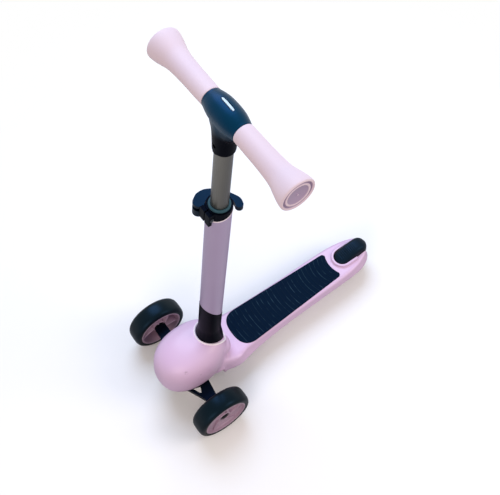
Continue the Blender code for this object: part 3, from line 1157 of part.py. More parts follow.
def make_handlebar():
    across = {"rotation": (0, math.pi / 2, 0), "location": (0, 0, BAR_HEIGHT)}
    belly, end, length = HUB_BELLY_RADIUS, HUB_END_RADIUS, HUB_HALF_LENGTH
    half = [(end + (belly - end) * swell, length * share) for share, swell in HUB_SWELL]
    profile = [(0, length), *half, *[(r, -h) for r, h in reversed(half[:-1])], (0, -length)]
    hub = turned("handlebar_hub", profile, STEM, black_plastic(), closed=False, steps=20, **across)
    profile = [(0, BAR_HEIGHT), *[(radius, BAR_HEIGHT - below) for radius, below in HUB_NECK]]
    profile += [(HUB_NECK_RADIUS, HUB_NECK_FOOT + HUB_NECK_CHAMFER),
                (HUB_NECK_RADIUS - HUB_NECK_CHAMFER, HUB_NECK_FOOT), (0, HUB_NECK_FOOT)]
    neck = turned("neck_form", profile, STEM, closed=False, steps=20)
    saddle_mesh = bpy.data.meshes.new("saddle_form")
    bm = bmesh.new()
    bmesh.ops.create_uvsphere(bm, u_segments=16, v_segments=10, radius=1.0)
    bmesh.ops.scale(bm, vec=HUB_SADDLE, verts=bm.verts)
    bm.to_mesh(saddle_mesh)
    bm.free()
    saddle = add_object("saddle_form", saddle_mesh, STEM, (0, 0, BAR_HEIGHT - HUB_SADDLE_DROP), (0, 0, 0),
                        None)
    join(hub, neck, saddle)
    post_top = BAR_HEIGHT - BAR_CORE_RADIUS - POST_TO_BAR
    cut(hub, rod("post_bore", POST_RADIUS + SEAT_GAP, HUB_NECK_FOOT - CUT_PAST, post_top + SEAT_GAP, STEM))
    cut(hub, rod("bar_bore", BAR_CORE_RADIUS + SEAT_GAP, -length - CUT_PAST, length + CUT_PAST, STEM,
                 **across))
    screw_height = HUB_NECK_FOOT + HUB_SCREW_ABOVE_NECK
    facing = {"rotation": (-math.pi / 2, 0, 0), "location": (0, 0, screw_height)}
    head_seat = HUB_NECK_RADIUS - HUB_SCREW_SINK
    cut(hub, rod("hub_screw_bore", HUB_SCREW_RADIUS + SEAT_GAP, 0, CUT_LONG, STEM, steps=12, **facing))
    cut(hub, rod("hub_screw_recess", HUB_SCREW_ROOM_RADIUS, head_seat, CUT_LONG, STEM, steps=16, **facing))
    badge_frame = {"rotation": (BADGE_TILT, 0, 0), "location": (0, 0, BAR_HEIGHT)}
    seat_height = HUB_BELLY_RADIUS - BADGE_SINK
    oval = [(BADGE_HALF_LENGTH * math.cos(t * math.pi / 10), BADGE_HALF_WIDTH * math.sin(t * math.pi / 10))
            for t in range(20)]
    grown = (BADGE_HALF_LENGTH + SEAT_GAP) / BADGE_HALF_LENGTH
    taller = (BADGE_HALF_WIDTH + SEAT_GAP) / BADGE_HALF_WIDTH
    cut(hub, plate("badge_seat", [(x * grown, y * taller) for x, y in oval], seat_height, CUT_LONG, STEM,
                   **badge_frame))
    plate("badge_insert", oval, seat_height + SEAT_GAP, seat_height + SEAT_GAP + BADGE_THICKNESS, STEM,
          black_plastic(), **badge_frame)
    post = ring("upper_post", POST_RADIUS, POST_RADIUS - POST_WALL, POST_FOOT, post_top, STEM, aluminium(),
                steps=28)
    cut(post, rod("post_screw_bore", HUB_SCREW_RADIUS + SEAT_GAP, 0, CUT_LONG, STEM, steps=12, **facing))
    head_top, head_foot = head_seat + HUB_SCREW_HEAD_HEIGHT, head_seat + SEAT_GAP
    profile = [(0, head_top), (HUB_SCREW_HEAD_RADIUS, head_top), (HUB_SCREW_HEAD_RADIUS, head_foot),
               (HUB_SCREW_RADIUS, head_foot), (HUB_SCREW_RADIUS, HUB_SCREW_TIP), (0, HUB_SCREW_TIP)]
    turned("hub_screw", profile, STEM, steel(), closed=False, steps=12, **facing)
    plug = POST_RADIUS - POST_WALL - SEAT_GAP
    glide = STEM_CORE_RADIUS - STEM_CORE_WALL - SLIDE_GAP
    foot = POST_FOOT - SEAT_GAP
    plug_top, rim_foot = foot + GLIDE_PLUG_LENGTH, foot - GLIDE_RIM_HEIGHT
    turned("post_glide", [(0, plug_top), (plug, plug_top), (plug, foot), (glide, foot), (glide, rim_foot),
                          (0, rim_foot)], STEM, bush_plastic(), closed=False)
    core_end = BAR_HALF_LENGTH - GRIP_END_WALL - SEAT_GAP
    ring("bar_core", BAR_CORE_RADIUS, BAR_CORE_RADIUS - BAR_CORE_WALL, -core_end, core_end, STEM, aluminium(),
         steps=24, **across)
    return hub


def grip_profile():
    """From the middle of the end face, over the flared end and the waist, back along the bore."""
    tip = BAR_HALF_LENGTH
    inner_end = HUB_HALF_LENGTH + SEAT_GAP
    bore = BAR_CORE_RADIUS + SEAT_GAP
    big, waist = GRIP_END_RADIUS, GRIP_WAIST_RADIUS
    dish = tip - GRIP_DISH_DEPTH
    shape = [(0, dish), (GRIP_DISH_RADIUS, dish), (GRIP_LIP_RADIUS, tip)]
    shape += [(big - inward, tip - back) for inward, back in GRIP_EDGE]
    shape += [(waist + (big - waist) * swell, tip - back) for back, swell in GRIP_FLARE]
    shape += [(HUB_END_RADIUS, inner_end), (bore, inner_end), (bore, tip - GRIP_END_WALL),
              (0, tip - GRIP_END_WALL)]
    return shape


def make_grips():
    for side, word in ((1, "left"), (-1, "right")):
        turned(f"grip_{word}", grip_profile(), STEM, grip_rubber(), closed=False, steps=28,
               rotation=(0, side * math.pi / 2, 0), location=(0, 0, BAR_HEIGHT))


make_deck_shell()
make_pad()
make_underbody_cover()
make_cover_screws()
make_bracket()
make_truck()
make_kingpin_parts()
make_front_wheels()
make_rear_wheel()
make_brake()
make_stem()
make_clamp()
make_lever()
make_handlebar()
make_grips()
for piece in PARTS.objects:
    if piece.type == "MESH":
        smooth(piece)
bpy.context.view_layer.update()
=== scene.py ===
"""Studio picture of a three-wheel kick scooter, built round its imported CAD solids.

Metres, +Z up. The scooter faces -Y and its rider's left is +X.
"""

import json
import math

import bmesh
import bpy
from mathutils import Matrix, Vector


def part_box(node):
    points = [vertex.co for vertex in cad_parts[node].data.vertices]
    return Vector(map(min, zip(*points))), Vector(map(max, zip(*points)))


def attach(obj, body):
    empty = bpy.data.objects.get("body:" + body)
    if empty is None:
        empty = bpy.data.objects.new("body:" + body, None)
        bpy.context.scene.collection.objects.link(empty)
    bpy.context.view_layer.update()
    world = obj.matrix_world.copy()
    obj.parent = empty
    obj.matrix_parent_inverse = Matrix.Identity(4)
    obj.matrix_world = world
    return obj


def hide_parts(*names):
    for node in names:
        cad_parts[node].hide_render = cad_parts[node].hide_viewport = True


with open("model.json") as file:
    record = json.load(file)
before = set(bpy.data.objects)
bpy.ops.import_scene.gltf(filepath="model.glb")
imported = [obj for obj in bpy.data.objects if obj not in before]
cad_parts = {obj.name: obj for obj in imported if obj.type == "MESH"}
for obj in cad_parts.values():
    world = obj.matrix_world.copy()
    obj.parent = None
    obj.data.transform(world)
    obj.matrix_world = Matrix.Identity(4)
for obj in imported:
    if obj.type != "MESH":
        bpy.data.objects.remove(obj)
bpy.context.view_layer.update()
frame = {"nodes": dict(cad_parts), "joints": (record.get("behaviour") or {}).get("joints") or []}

# Studio: white surroundings for the camera, three soft lamps and a pale floor that
# keeps the shadow. The camera stands high on the scooter's front left, as in the photograph.


def linear(code):
    """Linear RGBA of an sRGB hex colour."""
    channels = [int(code[i:i + 2], 16) / 255 for i in (0, 2, 4)]
    lit = [c / 12.92 if c <= 0.04045 else ((c + 0.055) / 1.055) ** 2.4 for c in channels]
    return (*lit, 1.0)


def add(tree, kind, inputs=(), **settings):
    """Add a shader node. Inputs take constants or other nodes' sockets."""
    node = tree.nodes.new("ShaderNode" + kind)
    for key, value in settings.items():
        setattr(node, key, value)
    for key, value in dict(inputs).items():
        if isinstance(value, bpy.types.NodeSocket):
            tree.links.new(value, node.inputs[key])
        else:
            node.inputs[key].default_value = value
    return node


def new_look(name):
    look = bpy.data.materials.new(name)
    look.use_nodes = True
    look.node_tree.nodes.clear()
    return look, look.node_tree


def link_object(name, data):
    """Put data into the scene. A bmesh becomes a mesh and is used up."""
    if isinstance(data, bmesh.types.BMesh):
        bm, data = data, bpy.data.meshes.new(name)
        bm.to_mesh(data)
        bm.free()
    made = bpy.data.objects.new(name, data)
    bpy.context.scene.collection.objects.link(made)
    return made


front_low, front_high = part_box("front_wheel_left_tyre")
front_axle_y = (front_low.y + front_high.y) / 2
FRONT = Matrix.Translation((0, front_axle_y, 0))


def make_camera():
    azimuth, elevation, roll = math.radians(58.0), math.radians(60.1), math.radians(-4.58)
    turn = Matrix.Rotation(azimuth, 4, "Z") @ Matrix.Rotation(math.pi / 2 - elevation, 4, "X")
    lens = bpy.data.cameras.new("camera")
    lens.sensor_width = 36
    lens.lens = 63.24
    lens.shift_x = -0.0163
    lens.shift_y = -0.0711
    camera = link_object("camera", lens)
    place = Matrix.Translation((0.6417, front_axle_y - 0.1977, 1.8076))
    camera.matrix_world = place @ turn @ Matrix.Rotation(roll, 4, "Z")
    bpy.context.scene.camera = camera


def add_lamp(name, place, aim, size, power, colour):
    lamp = bpy.data.lights.new(name, "AREA")
    lamp.shape = "DISK"
    lamp.size = size
    lamp.energy = power
    lamp.color = linear(colour)[:3]
    made = link_object(name, lamp)
    made.location = place
    made.rotation_euler = (Vector(aim) - Vector(place)).to_track_quat("-Z", "Y").to_euler()


def make_world():
    world = bpy.data.worlds.new("studio")
    bpy.context.scene.world = world
    world.use_nodes = True
    tree = world.node_tree
    tree.nodes.clear()
    ray = add(tree, "LightPath")
    seen = add(tree, "Math", {0: ray.outputs["Is Camera Ray"], 1: ray.outputs["Is Glossy Ray"]},
               operation="MAXIMUM")
    seen = add(tree, "Math", {0: seen.outputs[0], 1: ray.outputs["Is Transmission Ray"]}, operation="MAXIMUM")
    room = add(tree, "Background", {"Color": linear("F8F6F4"), "Strength": 0.5})
    white = add(tree, "Background", {"Color": (1, 1, 1, 1), "Strength": 1.0})
    mixed = add(tree, "MixShader", {0: seen.outputs[0], 1: room.outputs[0], 2: white.outputs[0]})
    add(tree, "OutputWorld", {"Surface": mixed.outputs[0]})


def make_floor():
    """Matt paper sweep that melts into the white surroundings a metre away, open from below."""
    look, tree = new_look("matt_paper_floor")
    ray = add(tree, "LightPath")
    tone = add(tree, "Mix", {0: ray.outputs["Is Camera Ray"], 6: linear("B2B4B8"), 7: (1, 1, 1, 1)},
               data_type="RGBA")
    paper = add(tree, "BsdfDiffuse", {"Color": tone.outputs[2]})
    place = add(tree, "TexCoord").outputs["Object"]
    away = add(tree, "VectorMath", {0: place}, operation="LENGTH").outputs["Value"]
    fade = add(tree, "MapRange", {0: away, 1: 0.45, 2: 1.05}, interpolation_type="SMOOTHSTEP").outputs[0]
    below = add(tree, "NewGeometry").outputs["Backfacing"]
    gone = add(tree, "Math", {0: fade, 1: below}, operation="MAXIMUM")
    clear = add(tree, "BsdfTransparent")
    mixed = add(tree, "MixShader", {0: gone.outputs[0], 1: paper.outputs[0], 2: clear.outputs[0]})
    add(tree, "OutputMaterial", {"Surface": mixed.outputs[0]})
    bm = bmesh.new()
    bmesh.ops.create_circle(bm, cap_ends=True, segments=64, radius=1.1)
    floor = link_object("floor", bm)
    floor.data.materials.append(look)
    floor.location = (0, 0, -0.0005)


make_camera()
make_world()
make_floor()
add_lamp("sky_softbox", (-1.3, 0.5, 2.3), (0, 0, 0.25), 1.9, 44, "CCE0FF")
add_lamp("front_softbox", (1.1, -1.7, 1.5), (0, 0, 0.2), 1.5, 15, "FFE8DE")
add_lamp("rear_softbox", (1.4, 1.6, 1.9), (0, 0, 0.2), 1.4, 22, "FFF2EC")
bpy.context.scene.view_settings.view_transform = "Standard"


# Body moulding: one hollow pink plastic moulding that holds the egg-shaped nose dome, the
# deck and the fork round the rear wheel. It has a satin face with a fine mould grain.

DRIFT = 0.0714
SEAT_GAP = 0.0003
DOME_CENTRE = Vector((0, 0.011, 0.1015))
DOME_HALF_WIDTH = 0.0591
DOME_REACHES = (0.0778, 0.0762)
DOME_HEIGHTS = (0.0546, 0.0598)
DOME_PLAN_POWER = 2.27
DOME_SIDE_POWER = 2.92
DOME_LEAN = 0.13
DOME_WALL = 0.0032
DECK_BOTTOM = 0.045
DECK_WALL = 0.0035
DECK_START = 0.055
DECK_END = 0.476
DECK_EDGE_RADIUS = 0.0075
CHEEK_START = 0.0275
CHEEK_BOTTOM = 0.0621
FOOT_WIDTHS = ((0.0275, 0.0500), (0.045, 0.0540), (0.066, 0.0555), (0.080, 0.0590), (0.098, 0.0605),
               (0.120, 0.0565), (0.157, 0.0515), (0.224, 0.0468), (0.319, 0.0450), (0.410, 0.0435),
               (0.436, 0.0405), (0.456, 0.0325), (0.468, 0.0220), (DECK_END, 0.0060))
SHOULDER_WIDTHS = ((0.0275, 0.0455), (0.045, 0.0485), (0.060, 0.0490), (0.080, 0.0530), (0.098, 0.0540),
                   (0.115, 0.0500), (0.125, 0.0475), (0.253, 0.0430), (0.391, 0.0410), (0.430, 0.0360),
                   (0.452, 0.0280), (0.466, 0.0180), (DECK_END, 0.0050))
CREST_HEIGHTS = ((0.0275, 0.0880), (0.055, 0.0880), (0.068, 0.0850), (0.080, 0.0780), (0.098, 0.0700),
                 (0.114, 0.0690), (0.428, 0.0690), (0.446, 0.0712), (0.462, 0.0750), (DECK_END, 0.0755))


def moulded(name, colour, roughness, tint, grain=0.0009, depth=0.00002, sheen=0.5, painted_reflection_tint="FFFFFF"):
    """Moulded plastic or rubber: a fine grain left by the mould and a slow drift of tone and gloss.

    The grain is drawn coarser than a real mould's 0.1 mm, so that it shows. Sheen is the strength
    of the reflections and the last argument is their colour; a blue one there is a painted reflection.
    """
    look, tree = new_look(name)
    place = add(tree, "TexCoord").outputs["Object"]
    drift = add(tree, "TexNoise", {"Vector": place, "Scale": 1 / DRIFT, "Detail": 2.0}).outputs["Fac"]
    speck = add(tree, "TexNoise", {"Vector": place, "Scale": 1 / grain, "Detail": 2.0}).outputs["Fac"]
    tone = add(tree, "Mix", {0: drift, 6: linear(colour), 7: linear(tint)}, data_type="RGBA")
    gloss = add(tree, "MapRange", {0: drift, 3: roughness - 0.05, 4: roughness + 0.05})
    bump = add(tree, "Bump", {"Height": speck, "Strength": 0.5, "Distance": depth})
    shader = add(tree, "BsdfPrincipled", {"Base Color": tone.outputs[2], "Roughness": gloss.outputs[0],
                                          "Normal": bump.outputs[0], "Specular IOR Level": sheen,
                                          "Specular Tint": linear(painted_reflection_tint)})
    add(tree, "OutputMaterial", {"Surface": shader.outputs[0]})
    return look


def along(stations, position):
    """Smooth value at a position through (position, value) stations."""
    last = len(stations) - 1
    if position <= stations[0][0]:
        return stations[0][1]
    if position >= stations[last][0]:
        return stations[last][1]
    i = max(k for k in range(last) if stations[k][0] <= position)

    def slope(k):
        before = stations[max(k - 1, 0)]
        after = stations[min(k + 1, last)]
        return (after[1] - before[1]) / (after[0] - before[0])

    (x0, v0), (x1, v1) = stations[i], stations[i + 1]
    span = x1 - x0
    t = (position - x0) / span
    start = (2 * t**3 - 3 * t**2 + 1) * v0 + (t**3 - 2 * t**2 + t) * span * slope(i)
    end = (3 * t**2 - 2 * t**3) * v1 + (t**3 - t**2) * span * slope(i + 1)
    return start + end


def spaced(start, end, steps):
    return [start + (end - start) * i / steps for i in range(steps + 1)]


def polar(radius, turn):
    return radius * math.cos(turn), radius * math.sin(turn)


def arc(x, y, radius, start, end, steps):
    points = [polar(radius, math.radians(degrees)) for degrees in spaced(start, end, steps)]
    return [(x + across, y + up) for across, up in points]


def lofted(rings, loop=False):
    """Closed skin through rings with the same number of points, with flat ends or run round in a loop."""
    bm = bmesh.new()
    loops = []
    for points in rings:
        verts = [bm.verts.new(point) for point in points]
        loops.append([bm.edges.new(pair) for pair in zip(verts, verts[1:] + verts[:1])])
    for near, far in zip(loops, loops[1:] + loops[:1] if loop else loops[1:]):
        bmesh.ops.bridge_loops(bm, edges=near + far)
    for end in () if loop else (loops[0], loops[-1]):
        bmesh.ops.contextual_create(bm, geom=end)
    bmesh.ops.recalc_face_normals(bm, faces=bm.faces)
    return bm


def prism(outline, low, high, matrix=Matrix()):
    """Upright block over a closed (x, y) outline."""
    bm = bmesh.new()
    face = bm.faces.new([bm.verts.new((x, y, low)) for x, y in outline])
    raised = bmesh.ops.extrude_face_region(bm, geom=[face])
    verts = [item for item in raised["geom"] if isinstance(item, bmesh.types.BMVert)]
    bmesh.ops.translate(bm, vec=(0, 0, high - low), verts=verts)
    bmesh.ops.transform(bm, matrix=matrix, verts=bm.verts)
    bmesh.ops.recalc_face_normals(bm, faces=bm.faces)
    return bm


def block(low, high, matrix=Matrix()):
    (x0, y0, z0), (x1, y1, z1) = low, high
    return prism([(x0, y0), (x1, y0), (x1, y1), (x0, y1)], z0, z1, matrix)


def turned(profile, steps=96, closed=False, matrix=Matrix()):
    """Turn (radius, height) points about Z."""
    bm = bmesh.new()
    verts = [bm.verts.new((radius, 0, height)) for radius, height in profile]
    edges = [bm.edges.new(pair) for pair in zip(verts, verts[1:])]
    if closed:
        edges.append(bm.edges.new((verts[-1], verts[0])))
    bmesh.ops.spin(bm, geom=verts + edges, axis=(0, 0, 1), cent=(0, 0, 0), steps=steps,
                   angle=2 * math.pi, use_merge=True)
    bmesh.ops.remove_doubles(bm, verts=bm.verts, dist=0.000005)
    bmesh.ops.transform(bm, matrix=matrix, verts=bm.verts)
    bmesh.ops.recalc_face_normals(bm, faces=bm.faces)
    return bm


def rod(radius, low, high, steps=64, matrix=Matrix()):
    return turned([(0, high), (radius, high), (radius, low), (0, low)], steps, matrix=matrix)


def evaluated(bm, add_modifiers):
    """The mesh with its modifiers applied. The given mesh and the helpers are used up."""
    work = link_object("work", bm)
    helpers = add_modifiers(work) or []
    bpy.context.view_layer.update()
    made = bpy.data.meshes.new_from_object(work.evaluated_get(bpy.context.evaluated_depsgraph_get()))
    for item in [work, *helpers]:
        bpy.data.objects.remove(item)
    result = bmesh.new()
    result.from_mesh(made)
    bpy.data.meshes.remove(made)
    return result


def combined(bm, operation, *tools):
    """Join tools to a mesh (UNION), cut them from it (DIFFERENCE) or keep what they share (INTERSECT)."""
    def add_modifiers(work):
        helpers = []
        for tool in tools:
            helper = link_object("tool", tool)
            modifier = work.modifiers.new("combine", "BOOLEAN")
            modifier.operation = operation
            modifier.object = helper
            helpers.append(helper)
        return helpers
    return evaluated(bm, add_modifiers)


def remeshed(bm, voxel):
    def add_modifiers(work):
        modifier = work.modifiers.new("remesh", "REMESH")
        modifier.mode = "VOXEL"
        modifier.voxel_size = voxel
    return evaluated(bm, add_modifiers)


def merged(*meshes):
    """One mesh that holds the closed meshes side by side."""
    whole = bmesh.new()
    for bm in meshes:
        mesh = bpy.data.meshes.new("work")
        bm.to_mesh(mesh)
        bm.free()
        whole.from_mesh(mesh)
        bpy.data.meshes.remove(mesh)
    return whole


def soften(bm, passes, wanted):
    """Relax the vertices for which wanted(place) holds."""
    verts = [vert for vert in bm.verts if wanted(vert.co)]
    for _ in range(passes):
        bmesh.ops.smooth_vert(bm, verts=verts, factor=0.5, use_axis_x=True, use_axis_y=True, use_axis_z=True)


def tidied(bm):
    """Merge the near-coincident points that cuts leave and split faces with more than four corners."""
    bmesh.ops.remove_doubles(bm, verts=bm.verts, dist=0.000004)
    bmesh.ops.triangulate(bm, faces=[face for face in bm.faces if len(face.verts) > 4])
    bmesh.ops.dissolve_degenerate(bm, edges=bm.edges, dist=0.000004)
    bmesh.ops.remove_doubles(bm, verts=bm.verts, dist=0.000004)


def piece(name, bm, look, body, *nodes, slot=None, place=None, sharp=35, bevel=0.0, segments=2):
    """Make a mesh a finished piece that rides a body and stands for the CAD nodes."""
    if place is not None:
        bmesh.ops.transform(bm, matrix=place, verts=bm.verts)
    if not bevel:
        tidied(bm)
    bmesh.ops.recalc_face_normals(bm, faces=bm.faces)
    made = link_object(name, bm)
    finish(made, look, sharp, bevel, segments)
    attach(made, body)
    if nodes:
        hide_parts(*nodes)


def finish(made, look, sharp=35, bevel=0.0, segments=2):
    """Give an object its only material, smooth shading between sharp edges, and rounded edges."""
    made.data.materials.clear()
    made.data.materials.append(look)
    made.data.shade_smooth()
    made.data.set_sharp_from_angle(angle=math.radians(sharp))
    if bevel:
        modifier = made.modifiers.new("rounded_edges", "BEVEL")
        modifier.width = bevel
        modifier.segments = segments
        modifier.limit_method = "ANGLE"
        modifier.angle_limit = math.radians(38)


def signed_power(value, power):
    return math.copysign(abs(value) ** power, value)


def dome(inset=0.0, segments=144, rings=96):
    """Egg shape from a sphere's directions, drawn in by a wall's thickness."""
    bm = bmesh.new()
    bmesh.ops.create_uvsphere(bm, u_segments=segments, v_segments=rings, radius=1.0)
    for vert in bm.verts:
        turn = math.atan2(vert.co.y, vert.co.x)
        rise = math.asin(max(-1.0, min(1.0, vert.co.z)))
        flat = abs(math.cos(rise)) ** (2 / DOME_SIDE_POWER)
        up = signed_power(math.sin(rise), 2 / DOME_SIDE_POWER)
        height = (DOME_HEIGHTS[up > 0] - inset) * up
        reach = DOME_REACHES[math.sin(turn) > 0] - inset
        x = (DOME_HALF_WIDTH - inset) * signed_power(math.cos(turn), 2 / DOME_PLAN_POWER) * flat
        y = reach * signed_power(math.sin(turn), 2 / DOME_PLAN_POWER) * flat + DOME_LEAN * height
        vert.co = DOME_CENTRE + Vector((x, y, height))
    bmesh.ops.remove_doubles(bm, verts=bm.verts, dist=0.00001)
    bmesh.ops.recalc_face_normals(bm, faces=bm.faces)
    return bm


def onto_dome(place):
    """The point of the dome's face in line with a place and the dome's centre."""
    off = place - DOME_CENTRE
    x = abs(off.x) / DOME_HALF_WIDTH
    y = off.y - DOME_LEAN * off.z
    plan = (x**DOME_PLAN_POWER + (abs(y) / DOME_REACHES[y > 0]) ** DOME_PLAN_POWER) ** (1 / DOME_PLAN_POWER)
    reach = (plan**DOME_SIDE_POWER + (abs(off.z) / DOME_HEIGHTS[off.z > 0]) ** DOME_SIDE_POWER)
    return DOME_CENTRE + off / reach ** (1 / DOME_SIDE_POWER)


def deck_ring(position, inset, bottom, ceiling):
    """Cross-section of the deck at a distance behind the front axle."""
    foot = along(FOOT_WIDTHS, position) - inset
    shoulder = along(SHOULDER_WIDTHS, position) - inset
    crest = along(CREST_HEIGHTS, position) - inset
    radius = min(DECK_EDGE_RADIUS, shoulder * 0.8)
    lip = min(0.003, foot * 0.3)
    half = [(0, bottom), (foot - lip, bottom), (foot, bottom + lip)]
    half += arc(shoulder - radius, crest - radius, radius, 0, 90, 7)
    half.append((0, crest))
    mirrored = [(-x, z) for x, z in reversed(half[1:-1])]
    return [(x, position, min(z, ceiling)) for x, z in half + mirrored]


def deck_loft(start, end, steps, inset=0.0, bottom=DECK_BOTTOM, ceiling=1.0):
    return lofted([deck_ring(position, inset, bottom, ceiling) for position in spaced(start, end, steps)])


def stadium(half_width, front, rear):
    """Outline with a round front end and a square rear end."""
    return arc(0, front + half_width, half_width, 180, 360, 24) + [(half_width, rear), (-half_width, rear)]


stem_joint = next(joint for joint in frame["joints"] if joint["name"] == "handlebar_slide")
stem_axis = Vector(stem_joint["axis"]).normalized()
grip_low, grip_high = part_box("grip_left")
bar_middle = Vector((0, *((grip_low + grip_high) / 2).yz))
BAR_HEIGHT = bar_middle.z / stem_axis.z
stem_foot = bar_middle - stem_axis * BAR_HEIGHT
stem_rake = math.atan2(stem_axis.y, stem_axis.z)
STEM = Matrix.Translation(stem_foot) @ Matrix.Rotation(-stem_rake, 4, "X")
STEM_FROM_FRONT = FRONT.inverted() @ STEM
rear_low, rear_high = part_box("rear_wheel_tyre")
REAR_WHEEL_Y = (rear_low.y + rear_high.y) / 2 - front_axle_y
REAR_WHEEL_Z = (rear_low.z + rear_high.z) / 2
REAR_WHEEL_RADIUS = (rear_high.z - rear_low.z) / 2
ACROSS = Matrix.Rotation(math.pi / 2, 4, "Y")
REAR_AXLE = Matrix.Translation((0, REAR_WHEEL_Y, REAR_WHEEL_Z)) @ ACROSS
SLOT_HALF_WIDTH = 0.0195
SLOT_FRONT = REAR_WHEEL_Y - REAR_WHEEL_RADIUS - 0.004
BRAKE_FRONT = SLOT_FRONT + 0.0015
BRAKE_HALF_WIDTH = 0.018
pin_low, pin_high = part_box("brake_pin")
BRAKE_PIN = FRONT.inverted() @ Matrix.Translation((pin_low + pin_high) / 2) @ ACROSS
PAD_FRONT = 0.114
PAD_SEAT_Z = 0.0672
PAD_HOLLOW = 0.0056
CORE_RADIUS = 0.019
SOCKET_FOOT = 0.118
SOCKET_SKIRT_RADIUS = 0.0315
SOCKET_NECK_RADIUS = 0.0228
SOCKET_FLARE_START = 0.190
BEAD_RADIUS = 0.0019
BEAD_SINK = 0.0005
BEAD_STEPS = 96
SHOULDER_CENTRE = (0.014, 0.076, 0.098)
SHOULDER_RADII = (0.027, 0.021, 0.022)
SLOT_RIM = 0.005
FORK_RADIUS = 0.011
FORK_HALF_WIDTH = 0.030
AXLE_BORE = 0.0043
PIN_BORE = 0.0023
PIN_HALF_LENGTH = 0.0221
NOSE_BOTTOM = 0.062
ARM_WINDOW = ((-0.09, -0.045, 0.02), (0.09, 0.026, 0.077))
CAVITY_REAR = 0.061
STEM_BOSS_RADIUS = 0.025
POCKETS_START = 0.102
POCKETS_END = 0.378
POCKETS = 5
POCKET_RIB = 0.003


def pad_outline(inset):
    """Round nose, tapering sides and a hollow rear edge that runs round the brake."""
    corner = 0.0075
    wide, narrow = 0.0425 - inset, 0.0325 - inset
    front, nose_end, rear = PAD_FRONT + inset, PAD_FRONT + 0.035, SLOT_FRONT - 0.0092 - inset
    half = []
    power = 2 / 2.6
    for turn in spaced(0, math.pi / 2, 32):
        across, ahead = math.sin(turn) ** power, abs(math.cos(turn)) ** power
        half.append((wide * across, nose_end - (nose_end - front) * ahead))
    half += arc(narrow - corner, rear - corner, corner, 0, 90, 12)
    for x in spaced(narrow - corner, 0, 24)[1:]:
        half.append((x, rear - PAD_HOLLOW * (1 - (x / (narrow - corner)) ** 2)))
    return half + [(-x, y) for x, y in reversed(half[1:-1])]


def socket_flare(gap):
    """Outer side of the socket from its neck down to its skirt."""
    points = []
    for share in spaced(0, 1, 24):
        swell = (SOCKET_SKIRT_RADIUS - SOCKET_NECK_RADIUS) * math.sin(share * math.pi / 2) ** 1.6
        height = SOCKET_FLARE_START + (SOCKET_FOOT - gap - SOCKET_FLARE_START) * share
        points.append((SOCKET_NECK_RADIUS + gap + swell, height))
    return points


def ellipsoid(radii, centre):
    bm = bmesh.new()
    bmesh.ops.create_uvsphere(bm, u_segments=64, v_segments=40, radius=1.0)
    bmesh.ops.scale(bm, vec=radii, verts=bm.verts)
    bmesh.ops.translate(bm, vec=centre, verts=bm.verts)
    return bm


def shoulder(side):
    """Rounded shoulder that carries the dome's back into the deck beside the socket."""
    return ellipsoid(SHOULDER_RADII, (side * SHOULDER_CENTRE[0], *SHOULDER_CENTRE[1:]))


def inside_moulding(place):
    """Whether a place is inside the dome, a shoulder or the deck."""
    off = place - DOME_CENTRE
    nearer = (onto_dome(place) - DOME_CENTRE).length > off.length
    on_deck = place.y > CHEEK_START and abs(place.x) < along(SHOULDER_WIDTHS, place.y)
    steps = zip((abs(place.x), place.y, place.z), SHOULDER_CENTRE, SHOULDER_RADII)
    on_shoulder = sum(((at - centre) / radius) ** 2 for at, centre, radius in steps) < 1
    return nearer or on_shoulder or (on_deck and place.z < along(CREST_HEIGHTS, place.y))


def socket_rim():
    """Raised bead round the hole that the socket stands in, thicker towards the rear left."""
    flare = [(height, radius) for radius, height in reversed(socket_flare(0))]
    heights = []
    turns = spaced(0, 2 * math.pi, BEAD_STEPS)[:-1]
    for turn in turns:
        low, high = SOCKET_FOOT + 0.001, SOCKET_FLARE_START
        for _ in range(14):
            middle = (low + high) / 2
            radius = along(flare, middle) + BEAD_RADIUS + BEAD_SINK
            place = STEM_FROM_FRONT @ Vector((*polar(radius, turn), middle))
            low, high = (middle, high) if inside_moulding(place) else (low, middle)
        heights.append(low)
    rings = []
    for i, turn in enumerate(turns):
        height = sum(heights[(i + k) % BEAD_STEPS] for k in range(-4, 5)) / 9
        thick = BEAD_RADIUS + 0.0008 * max(0.0, math.cos(turn - math.radians(28))) ** 3
        radius = along(flare, height) + thick + BEAD_SINK
        ring = [(radius + x, height + z) for x, z in arc(0, 0, thick, 0, 330, 11)]
        rings.append([STEM_FROM_FRONT @ Vector((*polar(r, turn), z)) for r, z in ring])
    return lofted(rings, loop=True)


